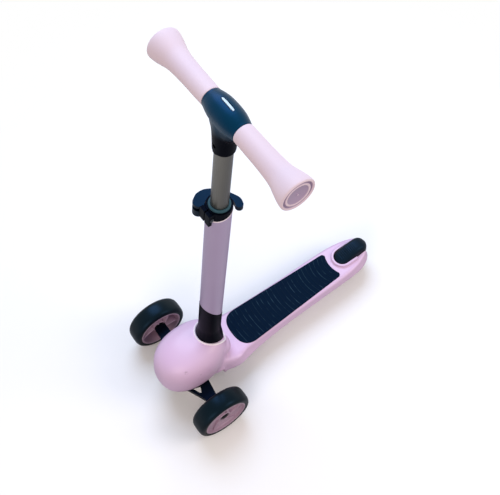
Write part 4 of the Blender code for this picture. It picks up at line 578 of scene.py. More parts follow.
def make_body():
    """Solid parts melted into one by a remesh, with soft creases, then hollowed and bored."""
    voxel = 0.0015
    rim_outline = stadium(SLOT_HALF_WIDTH + SLOT_RIM, SLOT_FRONT - SLOT_RIM, REAR_WHEEL_Y + 0.004)
    rim = prism(rim_outline, 0.049, 0.075)
    lugs = rod(FORK_RADIUS, -FORK_HALF_WIDTH, FORK_HALF_WIDTH, matrix=REAR_AXLE)
    reach = 0.9 * FORK_RADIUS
    necks = block((-FORK_HALF_WIDTH, REAR_WHEEL_Y - reach, REAR_WHEEL_Z),
                  (FORK_HALF_WIDTH, REAR_WHEEL_Y + reach, 0.050))
    cheeks = deck_loft(CHEEK_START, DECK_START + 0.004, 12, bottom=CHEEK_BOTTOM)
    deck = deck_loft(DECK_START, DECK_END, 90)
    body = remeshed(merged(dome(), shoulder(1), shoulder(-1), cheeks, deck, rim, lugs, necks), voxel)
    soften(body, 4, lambda place: True)
    crease = 40
    soften(body, crease, lambda place: 0.02 < place.y < 0.108 and 0.066 < place.z < 0.122)
    # The dome goes back onto its exact face wherever it isn't blended into the deck.
    for vert in body.verts:
        face = onto_dome(vert.co)
        blended = vert.co.y > 0.04 and vert.co.z < (0.095 if vert.co.y < 0.055 else 0.126)
        if (face - vert.co).length < 0.0006 and not blended:
            vert.co = face
    below = block((-0.1, -0.1, 0.02), (0.1, DECK_START - 0.0001, NOSE_BOTTOM))
    front_part = block((-0.1, -0.1, 0.02), (0.1, CAVITY_REAR, 0.2))
    cavity = combined(dome(DOME_WALL, 48, 32), "INTERSECT", front_part)
    boss = rod(STEM_BOSS_RADIUS, 0.064, 0.178, matrix=STEM_FROM_FRONT)
    cavity = combined(cavity, "DIFFERENCE", boss)
    flare = socket_flare(SEAT_GAP)
    seat = turned([(0, 0.30), (flare[0][0], 0.30), *flare, (0, flare[-1][1])], matrix=STEM_FROM_FRONT)
    bore = rod(CORE_RADIUS + SEAT_GAP, 0.0637, 0.2, matrix=STEM_FROM_FRONT)
    pad_seat = prism(pad_outline(-SEAT_GAP), PAD_SEAT_Z, 0.1)
    pitch = (POCKETS_END - POCKETS_START + POCKET_RIB) / POCKETS
    starts = [POCKETS_START + pitch * i for i in range(POCKETS)]
    pockets = [deck_loft(start, start + pitch - POCKET_RIB, 6, DECK_WALL, DECK_BOTTOM - 0.005,
                         PAD_SEAT_Z - DECK_WALL) for start in starts]
    slot = prism(stadium(SLOT_HALF_WIDTH, SLOT_FRONT, 0.6), -0.01, 0.12)
    axle_bore = rod(AXLE_BORE, -0.06, 0.06, 32, REAR_AXLE)
    pin_bore = rod(PIN_BORE, -PIN_HALF_LENGTH, PIN_HALF_LENGTH, 24, BRAKE_PIN)
    return combined(body, "DIFFERENCE", below, cavity, block(*ARM_WINDOW), seat, bore, pad_seat,
                    merged(*pockets), slot, axle_bore, pin_bore)


def overlaid(look, colour, make_mask):
    """Lay a colour over a look where make_mask(tree, Object coordinates) gives 1."""
    tree = look.node_tree
    shader = next(node for node in tree.nodes if node.type == "BSDF_PRINCIPLED")
    base = shader.inputs["Base Color"]
    mask = make_mask(tree, add(tree, "TexCoord").outputs["Object"])
    tone = add(tree, "Mix", {0: mask, 6: base.links[0].from_socket, 7: linear(colour)}, data_type="RGBA")
    tree.links.new(tone.outputs[2], base)
    return shader, mask


def scuff(look, colour, centre, reach):
    """Small broken rub mark round a place, in patches of 2.4 mm."""
    def make_mask(tree, place):
        patches = add(tree, "TexNoise", {"Vector": place, "Scale": 1 / 0.00238, "Detail": 3.0}).outputs["Fac"]
        broken = add(tree, "MapRange", {0: patches, 1: 0.47, 2: 0.60}).outputs[0]
        off = add(tree, "VectorMath", {0: place, 1: centre}, operation="DISTANCE").outputs["Value"]
        near = add(tree, "MapRange", {0: off, 1: reach, 2: reach * 0.3, 3: 0.0, 4: 0.5}).outputs[0]
        return add(tree, "Math", {0: near, 1: broken}, operation="MULTIPLY").outputs[0]
    overlaid(look, colour, make_mask)


# Polypropylene from a lightly textured mould: satin, so the lamps leave wide soft highlights.
body_plastic = moulded("satin_moulded_pink_plastic", "E0C2DE", 0.34, "DAB8DC")
scuff(body_plastic, "8C7088", FRONT @ Vector((0.042, -0.021, 0.145)), 0.0055)
scuff(body_plastic, "8C7088", FRONT @ Vector((0.0567, 0.0027, 0.1283)), 0.0035)
piece("body_moulding", make_body(), body_plastic, "deck", "deck_shell", slot="lilac_pink_plastic",
      place=FRONT, sharp=40)
# The same pink plastic drawn paler as a painted highlight on the rims' edges, with a tighter highlight.
rim_highlight_plastic = moulded("pale_pink_rim_highlight_plastic", "FFF2FA", 0.25, "FAEAF6")
piece("socket_rim_bead", socket_rim(), rim_highlight_plastic, "deck", slot="lilac_pink_plastic", place=FRONT)


# Foot pad: black rubber mat in a shallow seat of the deck, moulded with low ribs that curve
# round the brake, and glued down.

RIB_PITCH = 0.0100
RIB_HALF_WIDTH = 0.0010
RIB_HEIGHT = 0.0005
PAD_FACE_Z = 0.0696


def make_pad():
    """Grid bent into arcs round the brake's front, raised at the ribs and trimmed to the pad's outline."""
    centre = BRAKE_FRONT + BRAKE_HALF_WIDTH
    near, far = 0.030, centre - PAD_FRONT + 0.004
    bm = bmesh.new()
    bmesh.ops.create_grid(bm, x_segments=48, y_segments=int((far - near) / RIB_PITCH * 20), size=1.0)
    for vert in bm.verts:
        radius = near + (vert.co.y + 1) / 2 * (far - near)
        angle = vert.co.x * math.asin(min(0.96, 0.0475 / radius))
        off_rib = abs((radius / RIB_PITCH) % 1 - 0.5) * RIB_PITCH
        rise = max(0.0, 1 - (off_rib / RIB_HALF_WIDTH) ** 2)
        vert.co = (radius * math.sin(angle), centre - radius * math.cos(angle),
                   PAD_FACE_Z + RIB_HEIGHT * rise)
    bottom = bmesh.ops.extrude_face_region(bm, geom=bm.faces[:])
    for vert in bottom["geom"]:
        if isinstance(vert, bmesh.types.BMVert):
            vert.co.z = PAD_SEAT_Z - 0.002
    bmesh.ops.recalc_face_normals(bm, faces=bm.faces)
    return combined(bm, "INTERSECT", prism(pad_outline(0), PAD_SEAT_Z + SEAT_GAP, 0.09))


def pale_rib_crests(tree, place):
    """Rib crests drawn paler, in broken streaks of 17 mm."""
    height = add(tree, "SeparateXYZ", {"Vector": place}).outputs["Z"]
    crest = add(tree, "MapRange", {0: height, 1: PAD_FACE_Z + 0.5 * RIB_HEIGHT, 2: PAD_FACE_Z + RIB_HEIGHT})
    patches = add(tree, "TexNoise", {"Vector": place, "Scale": 1 / 0.01667, "Detail": 3.0}).outputs["Fac"]
    streaks = add(tree, "MapRange", {0: patches, 1: 0.46, 2: 0.70, 3: 0.06, 4: 1.0})
    return add(tree, "Math", {0: crest.outputs[0], 1: streaks.outputs[0]}, operation="MULTIPLY").outputs[0]


# Vulcanised rubber from a matt mould: nearly black, and dull from every side. Its faint reflections get a
# painted blue tint.
pad_rubber = moulded("black_moulded_pad_rubber", "04101F", 0.6, "071828", 0.0012, 0.00006, sheen=0.1,
                     painted_reflection_tint="6CA0FF")
# The rib crests are drawn paler in broken streaks.
overlaid(pad_rubber, "36505F", pale_rib_crests)
piece("deck_pad_ribbed", make_pad(), pad_rubber, "deck", "deck_pad", slot="black_pad_rubber", place=FRONT)


# Underbody tray, truck bracket and screws: the black plastic parts that close the nose from
# below, carried over from the CAD with rounded edges. Zinc-plated screws hold them.


FINISH_PITCH = 0.00111


def dress(look, slot, *names, bevel=0.0003):
    """Give CAD nodes their material and slightly rounded edges."""
    for name in names:
        finish(frame["nodes"][name], look, bevel=bevel)


def metal(name, colour, roughness, stretch=(1, 1, 1)):
    """Metal whose finish marks can be drawn out along an axis, coarser than real ones so that they show."""
    look, tree = new_look(name)
    place = add(tree, "TexCoord").outputs["Object"]
    lines = add(tree, "Mapping", {"Vector": place, "Scale": stretch}).outputs[0]
    marks = add(tree, "TexNoise", {"Vector": lines, "Scale": 1 / FINISH_PITCH, "Detail": 3.0}).outputs["Fac"]
    gloss = add(tree, "MapRange", {0: marks, 3: roughness - 0.07, 4: roughness + 0.07})
    bump = add(tree, "Bump", {"Height": marks, "Strength": 0.4, "Distance": 0.00001})
    shader = add(tree, "BsdfPrincipled", {"Base Color": linear(colour), "Metallic": 1.0,
                                          "Roughness": gloss.outputs[0], "Normal": bump.outputs[0]})
    add(tree, "OutputMaterial", {"Surface": shader.outputs[0]})
    return look


# Glass-filled nylon from a spark-eroded mould: black and grainy, with a faint broad gleam in a painted blue
# tint.
black_plastic = moulded("black_grained_plastic", "06080E", 0.4, "050A12", sheen=0.16, painted_reflection_tint="6CA0FF")
# Zinc-plated steel: a soft light grey shine.
zinc = metal("zinc_plated_steel", "92969C", 0.4)
# Oiled black oxide on steel: dark, with a dull shine. Its darkness also stands as painted shade in the front
# hubs' centre recesses.
black_oxide = metal("black_oxide_steel", "1E1F22", 0.5)
# Acetal from a smooth mould: waxy blue-grey.
bushing = moulded("grey_acetal_bush", "3A5C68", 0.45, "34545F", sheen=0.1)
# Cast polyurethane: matt black.
urethane = moulded("black_urethane_bush", "101418", 0.5, "0D1114", sheen=0.2)
dress(black_plastic, "black_plastic", "underbody_cover", "truck_bracket")
dress(zinc, "zinc_steel", "cover_screw_front_left", "cover_screw_front_right", "cover_screw_rear_left",
      "cover_screw_rear_right", "bracket_screw_left", "bracket_screw_right", "kingpin", "stem_bolt",
      "stem_nut")
dress(bushing, "grey_bush_plastic", "steer_bush_lower", "post_glide")
dress(urethane, "black_tyre_rubber", "steer_bush_upper")


# Truck: the black moulded plastic arm that leans to steer, held by the kingpin between its
# bushes. Its plate carries a slim strut to each front axle, with a window behind the strut.

dress(black_plastic, "black_plastic", "truck_arm", bevel=0.0012)


# Front wheels: cast black tyres on dusty pink spoked hubs, each on two steel bearings and
# an axle bolt.

TYRE_SHAPE = ((0.50, 0.975), (0.70, 0.900), (0.86, 0.760), (0.96, 0.560), (1.0, 0.36), (0.985, 0.20))
FRONT_RIM = 0.0476
SPOKES = 5
SPOKE_SWEEP = 0.5
SPOKE_THICKNESS = 0.0032


def make_tyre(radius, rim, width):
    """Solid tyre: flat-crowned tread, round shoulders and a thin lip that laps the rim."""
    seat = rim + SEAT_GAP
    outer = [(seat + (radius - seat) * up, width / 2 * side) for side, up in TYRE_SHAPE]
    profile = [(radius, 0), *outer, (seat, width / 2 * 0.965)]
    whole = [(r, -h) for r, h in reversed(profile[1:])] + profile
    return turned(whole, 128, closed=True)


def spoke(start, end, sweep, low, high, turn):
    """Curved rib from the boss to the rim."""
    left, right = [], []
    for share in spaced(0, 1, 12):
        radius = start + (end - start) * share
        angle = turn + sweep * math.sin(share * math.pi / 2)
        offset = SPOKE_THICKNESS / 2 / radius
        left.append(polar(radius, angle + offset))
        right.append(polar(radius, angle - offset))
    return prism(left + right[::-1], low, high)


def make_wheel_hub(rim, width):
    """Rim, a web dished towards the outer face, bearing boss and curved ribs on both faces."""
    half, boss, bore, face = width / 2 * 0.94, 0.014, 0.0113, 0.0105
    web, at_rim, at_boss = 0.0035, half * 0.62, half * 0.46
    inner, round_over = rim - 0.003, 0.0006
    profile = [(inner, half), (inner + round_over, half + round_over), (rim - round_over, half + round_over)]
    profile += [(rim, half), (rim, -half), (rim - round_over, -half - round_over)]
    profile += [(inner + round_over, -half - round_over), (inner, -half), (inner, at_rim - web - 0.002)]
    profile += [(inner - 0.002, at_rim - web), (boss + 0.0015, at_boss - web), (boss, at_boss - web - 0.0015)]
    mouth = at_rim + 0.0028
    profile += [(boss, -face), (bore, -face), (bore, mouth), (boss - 0.0006, mouth), (boss, mouth - 0.0006)]
    profile += [(boss, at_boss + 0.001), (boss + 0.001, at_boss), (inner - 0.0016, at_rim),
                (inner, at_rim + 0.0016)]
    groove = 0.62 * inner + 0.38 * boss
    step = at_boss + (at_rim - at_boss) * (groove - boss) / (inner - boss)
    ridge = turned([(groove - 0.0012, step - 0.001), (groove - 0.0006, step + 0.0009),
                    (groove + 0.0006, step + 0.0009), (groove + 0.0012, step - 0.001)], 96, closed=True)
    parts = [turned(profile, 96, closed=True), ridge]
    start, end = boss - 0.0008, inner + 0.0008
    for turn in spaced(0, 2 * math.pi, SPOKES)[:-1]:
        parts.append(spoke(start, end, SPOKE_SWEEP, at_boss - 0.0015, mouth, turn))
        parts.append(spoke(start, end, -SPOKE_SWEEP, -half * 0.70, at_boss - web + 0.0005, turn))
    return merged(*parts)


# Cast polyurethane, worn smooth: black with a low gleam on the shoulder in a painted bluish tint.
tyre_rubber = moulded("black_cast_polyurethane", "05090C", 0.34, "0B1412", 0.0012, 0.00003, sheen=0.26,
                      painted_reflection_tint="6CA4D8")
# Bearing steel behind a black rubber seal: dark, and it mirrors nothing, so that it also stands as painted
# shade in the hubs' bores.
sealed_bearing = moulded("black_sealed_bearing_steel", "0A0A0C", 0.5, "0D0D0F", sheen=0.15)
# Nylon from a plain mould: dusty pink and satin.
wheel_plastic = moulded("dusty_pink_wheel_plastic", "B096A8", 0.42, "A88EA2")


def add_wheel(body, axle, radius, rim, width, bevel):
    piece(f"{body}_cast_tyre", make_tyre(radius, rim, width), tyre_rubber, body, f"{body}_tyre",
          slot="black_tyre_rubber", place=axle)
    piece(f"{body}_spoked_hub", make_wheel_hub(rim, width), wheel_plastic, body, f"{body}_hub",
          slot="dusty_pink_plastic", place=axle, bevel=bevel)


for side, word in ((1, "left"), (-1, "right")):
    body = f"front_wheel_{word}"
    low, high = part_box(f"{body}_tyre")
    axle = Matrix.Translation((low + high) / 2) @ Matrix.Rotation(side * math.pi / 2, 4, "Y")
    add_wheel(body, axle, (high.z - low.z) / 2, FRONT_RIM, high.x - low.x, 0.0004)
    dress(sealed_bearing, "zinc_steel", f"{body}_bearing_inner", f"{body}_bearing_outer",
          f"{body}_bearing_spacer")
    dress(black_oxide, "black_oxide_steel", f"front_axle_bolt_{word}")


# Rear wheel: the same cast tyre and moulded hub as in front, but smaller. It turns on two
# bearings between plastic spacers, on a steel bolt through the deck's fork.

REAR_RIM = 0.0265
rear_axle = Matrix.Translation((rear_low + rear_high) / 2) @ ACROSS
add_wheel("rear_wheel", rear_axle, REAR_WHEEL_RADIUS, REAR_RIM, rear_high.x - rear_low.x, 0.0003)
dress(zinc, "zinc_steel", "rear_wheel_bearing_left", "rear_wheel_bearing_right", "rear_wheel_bearing_spacer",
      "rear_axle_bolt", "rear_axle_nut", "brake_pin", "brake_spring")
dress(black_plastic, "black_plastic", "rear_spacer_left", "rear_spacer_right")


# Brake: a black moulded plastic mudguard with low cross ribs over the rear wheel. It turns on
# a steel pin in the deck's fork, and a spring lifts it when the foot lets go.

BRAKE_START = BRAKE_FRONT - 0.0008
BRAKE_LENGTH = 0.0828
BRAKE_WALL = 0.0025
BRAKE_EDGE = 0.064
BRAKE_BACK = ((0.0, 0.0712), (0.006, 0.0752), (0.020, 0.0808), (0.034, 0.0856), (0.048, 0.0882),
              (0.060, 0.0880), (0.070, 0.0858), (0.078, 0.0808), (0.0828, 0.0735))
BRAKE_RIB_PITCH = 0.0042
BRAKE_RIB_HEIGHT = 0.0010
BRAKE_RIB_HALF_WIDTH = 0.0105
BRAKE_RIBS = (0.010, 0.046)
TYRE_CLEARANCE = 0.0034


def brake_section(y):
    """Closed section across the brake at a distance behind its front: domed back, flat or arched floor."""
    wide = BRAKE_HALF_WIDTH + 0.0007
    to_end = min(y, BRAKE_LENGTH - y)
    half = math.sqrt(wide**2 - max(wide - to_end, 0) ** 2)
    crest = along(BRAKE_BACK, y)
    place = BRAKE_START + y
    clear = REAR_WHEEL_RADIUS + TYRE_CLEARANCE
    arch = REAR_WHEEL_Z + math.sqrt(max(clear**2 - (place - REAR_WHEEL_Y) ** 2, 0))
    floor = max(BRAKE_EDGE, min(arch, crest - BRAKE_WALL))
    side = BRAKE_EDGE + 0.0005
    start, length = BRAKE_RIBS
    along_ribs = math.sin(math.pi * min(1, max(0, (y - start) / length))) ** 0.5
    wave = max(0.0, math.cos(2 * math.pi * y / BRAKE_RIB_PITCH)) ** 2
    ring = []
    for turn in spaced(0, math.pi, 48):
        x = half * signed_power(math.cos(turn), 2 / 4.2)
        rib = wave * max(0.0, 1 - (x / BRAKE_RIB_HALF_WIDTH) ** 2) ** 0.5
        top = side + (crest - side) * abs(math.sin(turn)) ** (2 / 2.8)
        ring.append((x, place, top + BRAKE_RIB_HEIGHT * rib * along_ribs))
    for x in spaced(-half * 0.995, half * 0.995, 8):
        ring.append((x, place, floor if abs(x) < half - 0.0022 else BRAKE_EDGE))
    return ring


def make_brake():
    brake = lofted([brake_section(y) for y in spaced(0.0003, BRAKE_LENGTH - 0.0003, 150)])
    pin, half, reach = BRAKE_PIN.translation, 0.0063, 0.0035
    spring_room = block((-half, pin.y - reach, 0.045), (half, pin.y + reach, pin.z + reach))
    return combined(brake, "DIFFERENCE", rod(PIN_BORE, -0.03, 0.03, 32, BRAKE_PIN), spring_room)


# Nylon from a smooth mould: black, with a gleam along its crest in a painted bluish tint.
brake_plastic = moulded("satin_black_brake_plastic", "050A12", 0.36, "0A141D", sheen=0.24, painted_reflection_tint="7CB8F0")
piece("brake_mudguard", make_brake(), brake_plastic, "brake", "brake_fender", slot="black_plastic",
      place=FRONT)


# Stem: an aluminium core clad in a black moulded socket and a pink extruded sleeve, pushed on
# until they meet at a slanted seam. The sliding post and the bar's core are aluminium too.


def slanted(bm, height, slope, keep_above):
    """Cut a tube at a seam that climbs towards the rear by the slope, and close the cut."""
    normal = Vector((0, -math.sin(slope), math.cos(slope)))
    bmesh.ops.bisect_plane(bm, geom=bm.verts[:] + bm.edges[:] + bm.faces[:], plane_co=(0, 0, height),
                           plane_no=normal, clear_outer=not keep_above, clear_inner=keep_above)
    open_edges = [edge for edge in bm.edges if edge.is_boundary]
    bmesh.ops.bridge_loops(bm, edges=open_edges)
    return bm


SEAM = 0.26
SEAM_SLOPE = math.radians(-42)
INNER = CORE_RADIUS + SEAT_GAP
SLEEVE_RADIUS = 0.02225
SLEEVE_TOP = 0.5877
SLEEVE_TOP_SLOPE = math.radians(20)
LIP_HEIGHT = 0.0022
LIP_THICKNESS = 0.0008


def make_socket():
    """Flared tube that starts longer than it ends up, and is cut at the seam."""
    chamfer = 0.0006
    profile = [(INNER, 0.30), (SOCKET_NECK_RADIUS, 0.30), *socket_flare(0)[:-1]]
    profile += [(SOCKET_SKIRT_RADIUS, SOCKET_FOOT + chamfer), (SOCKET_SKIRT_RADIUS - chamfer, SOCKET_FOOT),
                (INNER, SOCKET_FOOT)]
    return slanted(turned(profile, 128, closed=True), SEAM - SEAT_GAP, SEAM_SLOPE, False)


def make_sleeve():
    """Tube that starts longer than it ends up, and is cut at the seam and at its top."""
    profile = [(INNER, 0.62), (SLEEVE_RADIUS, 0.62), (SLEEVE_RADIUS, 0.2), (INNER, 0.2)]
    tube = slanted(turned(profile, 128, closed=True), SEAM, SEAM_SLOPE, True)
    return slanted(tube, SLEEVE_TOP, SLEEVE_TOP_SLOPE, False)


def make_sleeve_lip():
    """Thin slanted ring moulded round the sleeve's top, just under the clamp."""
    inner, outer = SLEEVE_RADIUS + 0.0001, SLEEVE_RADIUS + LIP_THICKNESS
    tube = turned([(inner, 0.62), (outer, 0.62), (outer, 0.54), (inner, 0.54)], 128, closed=True)
    lower = SLEEVE_TOP - LIP_HEIGHT / math.cos(SLEEVE_TOP_SLOPE)
    return slanted(slanted(tube, SLEEVE_TOP, SLEEVE_TOP_SLOPE, False), lower, SLEEVE_TOP_SLOPE, True)


# Nylon from a blasted mould: matt, and the darkest part of the scooter. Its weak reflections get a painted
# blue tint.
upright_plastic = moulded("matt_black_stem_plastic", "05060C", 0.42, "04060C", sheen=0.04, painted_reflection_tint="6CA0FF")
# Extruded polypropylene: a smooth satin, cooler in tone than the moulded body.
sleeve_plastic = moulded("satin_extruded_pink_sleeve", "B0A0C2", 0.33, "A898BA")
# Drawn and anodised aluminium: a grey satin with marks drawn out along the tube.
aluminium = metal("satin_anodised_aluminium", "6E6C68", 0.36, stretch=(1, 1, 0.02))
piece("stem_socket_flared", make_socket(), upright_plastic, "deck", "stem_socket", slot="black_plastic",
      place=STEM)
piece("stem_sleeve_tube", make_sleeve(), sleeve_plastic, "deck", "stem_sleeve", slot="lilac_pink_plastic",
      place=STEM, bevel=0.0005)
# The lip takes the paler plastic: a painted highlight along the sleeve's top edge.
piece("sleeve_top_lip", make_sleeve_lip(), rim_highlight_plastic, "deck", slot="lilac_pink_plastic", place=STEM)
dress(aluminium, "satin_aluminium", "stem_core", "upper_post", "bar_core", bevel=0)


# Quick clamp: a split black plastic collar with two ears, drawn together by a steel bolt and a
# moulded cam lever that wraps round the back. A plastic bush in the stem's mouth guides the post.

POST_BORE = 0.01555
LEVER_LOW = 0.5765
LEVER_HIGH = 0.5955
LEVER_TAPER = 0.0090
TAPER_ANGLES = (150, 75)
HEAD_LOW = 0.5680
HEAD_HIGH = 0.5960
HEAD_RADII = (0.0105, 0.0120)
HEAD_SHIFT = (-0.0040, 0.0082)
BOLT_SLOT = (0.0113, 0.5827, 0.5903)  # radius, foot and top
TIP_ANGLE = 64.0
ROOT_ANGLE = 205.0
OUTER_RADII = ((TIP_ANGLE, 0.0398), (82.0, 0.0386), (102.0, 0.0340), (120.0, 0.0326), (150.0, 0.0342),
               (168.0, 0.0372), (186.0, 0.0416), (ROOT_ANGLE, 0.0444))
INNER_RADII = ((TIP_ANGLE, 0.0262), (82.0, 0.0254), (102.0, 0.0250), (120.0, 0.0248), (ROOT_ANGLE, 0.0248))
COLLAR_ROOM = 0.0242
lever_pin = STEM.inverted() @ (sum(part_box("clamp_pin"), Vector()) / 2)


def make_lever():
    """Waisted handle round the collar's back. Its broad head hides the pin and is slotted for the bolt."""
    outline = []
    for radii, start, end in ((OUTER_RADII, TIP_ANGLE, ROOT_ANGLE), (INNER_RADII, ROOT_ANGLE, TIP_ANGLE)):
        for degrees in spaced(start, end, 60):
            outline.append(polar(along(radii, degrees), math.radians(degrees)))
    tip = (OUTER_RADII[0][1] + INNER_RADII[0][1]) / 2
    x, y = polar(tip, math.radians(TIP_ANGLE))
    outline += arc(x, y, OUTER_RADII[0][1] - tip, TIP_ANGLE - 180, TIP_ANGLE, 16)[1:-1]
    x, y = lever_pin.xy
    small, large = HEAD_RADII
    heading = math.degrees(math.atan2(HEAD_SHIFT[1], HEAD_SHIFT[0]))
    spread = math.degrees(math.acos((small - large) / math.hypot(*HEAD_SHIFT)))
    head = arc(x, y, small, heading + spread, heading + 360 - spread, 32)
    head += arc(x + HEAD_SHIFT[0], y + HEAD_SHIFT[1], large, heading - spread, heading + spread, 32)
    handle = prism(outline, LEVER_LOW, LEVER_HIGH)
    start, end = TAPER_ANGLES
    for vert in handle.verts:
        if vert.co.z < (LEVER_LOW + LEVER_HIGH) / 2:
            degrees = math.degrees(math.atan2(vert.co.y, vert.co.x)) % 360
            vert.co.z += LEVER_TAPER * min(1.0, max(0.0, (start - degrees) / (start - end)))
    lever = combined(handle, "UNION", prism(head, HEAD_LOW, HEAD_HIGH))
    slot = rod(*BOLT_SLOT, matrix=Matrix.Translation((x, y, 0)))
    return combined(lever, "DIFFERENCE", rod(COLLAR_ROOM, 0.5, 0.7, 96), slot)


def make_post_bush():
    """Bush in the core's mouth. Its flange covers the core's cut end."""
    wall, lip, flange = CORE_RADIUS - 0.0023, 0.0169, CORE_RADIUS + 0.0001
    seat, top, foot = 0.6013, 0.6055, 0.5663
    edge = arc(lip, top - 0.0018, 0.0018, 90, 0, 6)
    skirt = [(flange, seat + 0.0009), (flange, seat), (wall, seat), (wall, foot), (POST_BORE, foot)]
    return turned([(POST_BORE, top), *edge, *skirt], 96, closed=True)


dress(upright_plastic, "black_plastic", "clamp_collar", bevel=0.0009)
# Nylon from a polished mould: black, and its curve reflects the lamps in a painted blue tint.
lever_plastic = moulded("gloss_black_lever_plastic", "020B14", 0.34, "030E1A", depth=0.00001, sheen=0.22,
                        painted_reflection_tint="1E96E6")
piece("clamp_lever_moulding", make_lever(), lever_plastic, "clamp_lever", "clamp_lever", slot="black_plastic",
      place=STEM, bevel=0.0018, segments=3)
# Zinc plating gone dull: a weak grey glint.
dull_zinc = metal("dull_zinc_plated_steel", "5C6066", 0.5)
dress(dull_zinc, "zinc_steel", "clamp_bolt", "clamp_nut", "clamp_pin")
piece("post_bush_flanged", make_post_bush(), bushing, "deck", "post_bush", slot="grey_bush_plastic",
      place=STEM)


# Handlebar hub: a glossy black moulding that holds the cross bar and is screwed to the sliding
# post. A slim plastic insert is pressed into its top, drawn pale grey as a painted highlight.

HUB_BELLY = 0.0232
HUB_END = 0.0174
HUB_HALF_LENGTH = 0.039
HUB_SCREW = 0.760
BAR_BORE = 0.0113
NECK_FOOT = 0.742
STRIP_HALF_LENGTH = 0.0142
STRIP_SEAT = Matrix.Translation((0, 0, BAR_HEIGHT)) @ Matrix.Rotation(math.radians(-1), 4, "X")


def oval(half_length, half_width):
    """Long outline with full, nearly square ends."""
    return [(half_length * signed_power(x, 0.5), half_width * signed_power(y, 0.5))
            for x, y in arc(0, 0, 1, 0, 352.5, 47)]


def make_strip():
    """Slim strip bent to the barrel's line."""
    strip = prism(oval(STRIP_HALF_LENGTH, 0.0019), HUB_BELLY - 0.0019, HUB_BELLY + 0.0001)
    bmesh.ops.bisect_plane(strip, geom=strip.verts[:] + strip.edges[:] + strip.faces[:], plane_co=(0, 0, 0),
                           plane_no=(1, 0, 0))
    for vert in strip.verts:
        vert.co.z -= 0.0006 * (vert.co.x / STRIP_HALF_LENGTH) ** 2
    bmesh.ops.transform(strip, matrix=STRIP_SEAT, verts=strip.verts)
    return strip


def make_bar_hub():
    across = Matrix.Translation((0, 0, BAR_HEIGHT)) @ ACROSS
    shape = ((1.0, 0.0), (0.90, 0.13), (0.80, 0.34), (0.65, 0.60), (0.50, 0.80), (0.37, 0.91), (0.25, 0.97),
             (0.12, 0.995), (0.0, 1.0))
    half = [(HUB_END + (HUB_BELLY - HUB_END) * swell, HUB_HALF_LENGTH * share) for share, swell in shape]
    profile = [(0, HUB_HALF_LENGTH), *half, *[(r, -h) for r, h in reversed(half[:-1])], (0, -HUB_HALF_LENGTH)]
    barrel = turned(profile, matrix=across)
    neck = turned([(0, BAR_HEIGHT), (0.0225, BAR_HEIGHT), (0.0220, BAR_HEIGHT - 0.022),
                   (0.0200, BAR_HEIGHT - 0.045), (0.0187, BAR_HEIGHT - 0.068), (0.0187, NECK_FOOT + 0.001),
                   (0.0177, NECK_FOOT), (0, NECK_FOOT)])
    saddle = ellipsoid((0.033, 0.021, 0.033), (0, 0, BAR_HEIGHT - 0.013))
    hub = remeshed(merged(barrel, neck, saddle), 0.0009)
    soften(hub, 3, lambda place: abs(place.x) < 0.0375 and place.z > NECK_FOOT + 0.0025)
    soften(hub, 30, lambda place: 0.004 < abs(place.x) < 0.035 and place.z < BAR_HEIGHT + 0.004)
    post = rod(POST_BORE, 0.7, BAR_HEIGHT - 0.0127)
    bar = rod(BAR_BORE, -0.1, 0.1, matrix=across)
    recess = Matrix.Translation((0, 0, HUB_SCREW)) @ Matrix.Rotation(math.pi / 2, 4, "X")
    insert_seat = prism(oval(STRIP_HALF_LENGTH + 0.0008, 0.0036), HUB_BELLY - 0.0022, 0.04, STRIP_SEAT)
    screw, head = rod(0.0023, 0, 0.05, 24, recess), rod(0.0040, 0.0167, 0.05, 32, recess)
    return combined(hub, "DIFFERENCE", post, bar, screw, head, insert_seat)


def shaded_neck_mask(tree, place):
    """1 on the neck below the barrel, where the hub is painted darker as shade and reflects less."""
    height = add(tree, "SeparateXYZ", {"Vector": place}).outputs["Z"]
    low, high = bar_middle.z - 0.034, bar_middle.z + 0.002
    return add(tree, "MapRange", {0: height, 1: low, 2: high, 3: 1.0, 4: 0.0},
               interpolation_type="SMOOTHSTEP").outputs[0]


# Glass-filled nylon, gloss black: its teal base colour and blue tint are a painted blue reflection on the
# barrel, and its neck is painted darker as shade, with weaker reflections.
hub_plastic = moulded("gloss_black_hub_plastic", "06283A", 0.36, "0A3648", depth=0.000006, sheen=0.32,
                      painted_reflection_tint="1E8CFF")
hub_shader, neck = overlaid(hub_plastic, "04050A", shaded_neck_mask)
hub_sheen = hub_shader.inputs["Specular IOR Level"]
neck_sheen = add(hub_plastic.node_tree, "MapRange", {0: neck, 3: hub_sheen.default_value, 4: 0.03})
hub_plastic.node_tree.links.new(neck_sheen.outputs[0], hub_sheen)
# A smooth plastic strip drawn bright grey: a painted highlight on the glossy insert.
strip_highlight_plastic = moulded("pale_grey_painted_highlight_plastic", "C4D8E4", 0.2, "B4CCDC", depth=0.000006)
piece("handlebar_hub_moulding", make_bar_hub(), hub_plastic, "handlebar", "handlebar_hub",
      slot="black_plastic", place=STEM, sharp=50)
piece("hub_insert_strip", make_strip(), strip_highlight_plastic, "handlebar", "badge_insert", slot="black_plastic",
      place=STEM)
dress(zinc, "zinc_steel", "hub_screw")


# Grips: pale pink moulded rubber, waisted and flared, with a dished end. Each is pushed over
# the cross bar's core up to the hub.

BAR_TIP = 0.1665
GRIP_END_RADIUS = 0.029
GRIP_WAIST_RADIUS = 0.0182
GRIP_INNER_END = 0.0393
GRIP_EDGE = 0.0027


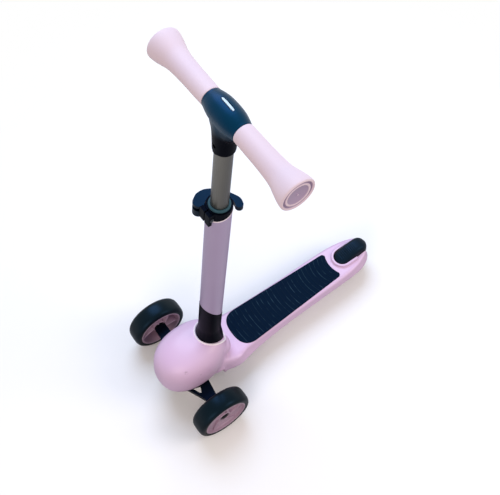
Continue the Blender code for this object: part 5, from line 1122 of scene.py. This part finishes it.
def make_grip():
    tip, big, waist, inner_end = BAR_TIP, GRIP_END_RADIUS, GRIP_WAIST_RADIUS, GRIP_INNER_END
    dish = tip - 0.0028
    shape = [(0, dish + 0.0016), (0.0010, dish + 0.0015), (0.0018, dish), (0.0160, dish),
             (0.0178, dish + 0.0012), (0.0184, dish + 0.0017), (0.0205, dish + 0.0018),
             (0.0212, dish + 0.0013), (0.0222, dish - 0.0004), (0.0240, dish - 0.0006),
             (0.0251, dish + 0.0012), (0.0256, tip - 0.0004), (big - GRIP_EDGE, tip)]
    shape += arc(big - GRIP_EDGE, tip - GRIP_EDGE, GRIP_EDGE, 86, 0, 8)
    flare = ((GRIP_EDGE, 1.0), (0.007, 0.975), (0.0140, 0.86), (0.0250, 0.60), (0.0370, 0.29), (0.0520, 0.12),
             (0.0800, 0.0), (0.1000, -0.02), (0.1272, -0.07))
    for back in spaced(0.005, 0.1262, 38):
        shape.append((waist + (big - waist) * along(flare, back), tip - back))
    shape += [(waist - 0.0012, inner_end + 0.0002), (BAR_BORE, inner_end), (BAR_BORE, tip - 0.007),
              (0, tip - 0.007)]
    return turned(shape, 112)


def shaded_grip_dish(tree, place):
    """Painted shade in the dish and grooves of each end face."""
    round_bar = add(tree, "Mapping", {"Vector": place, "Location": (0, -bar_middle.y, -bar_middle.z),
                                      "Scale": (0, 1, 1)}).outputs[0]
    radius = add(tree, "VectorMath", {0: round_bar}, operation="LENGTH").outputs["Value"]
    inside = add(tree, "MapRange", {0: radius, 1: 0.0252, 2: 0.0246}).outputs[0]
    sideways = add(tree, "SeparateXYZ", {"Vector": place}).outputs["X"]
    out = add(tree, "Math", {0: sideways}, operation="ABSOLUTE").outputs[0]
    sunk = add(tree, "MapRange", {0: out, 1: BAR_TIP - 0.0011, 2: BAR_TIP - 0.0019}).outputs[0]
    outer = add(tree, "MapRange", {0: out, 1: BAR_TIP - 0.0085, 2: BAR_TIP - 0.0065}).outputs[0]
    dish_shade = add(tree, "Math", {0: inside, 1: sunk}, operation="MULTIPLY").outputs[0]
    return add(tree, "Math", {0: dish_shade, 1: outer}, operation="MULTIPLY").outputs[0]


# Thermoplastic rubber from a blasted mould: pale, soft and nearly without highlights.
grip_rubber = moulded("pale_pink_grip_rubber", "E6D2DA", 0.55, "E0CCD8", 0.0014, 0.00004, sheen=0.3)
# Painted shade darkens the dish and grooves of each grip's end face.
overlaid(grip_rubber, "A894B0", shaded_grip_dish)
for side, word in ((1, "left"), (-1, "right")):
    place = STEM @ Matrix.Translation((0, 0, BAR_HEIGHT)) @ Matrix.Rotation(side * math.pi / 2, 4, "Y")
    piece(f"grip_{word}_rubber", make_grip(), grip_rubber, "handlebar", f"grip_{word}",
          slot="pale_pink_rubber", place=place)
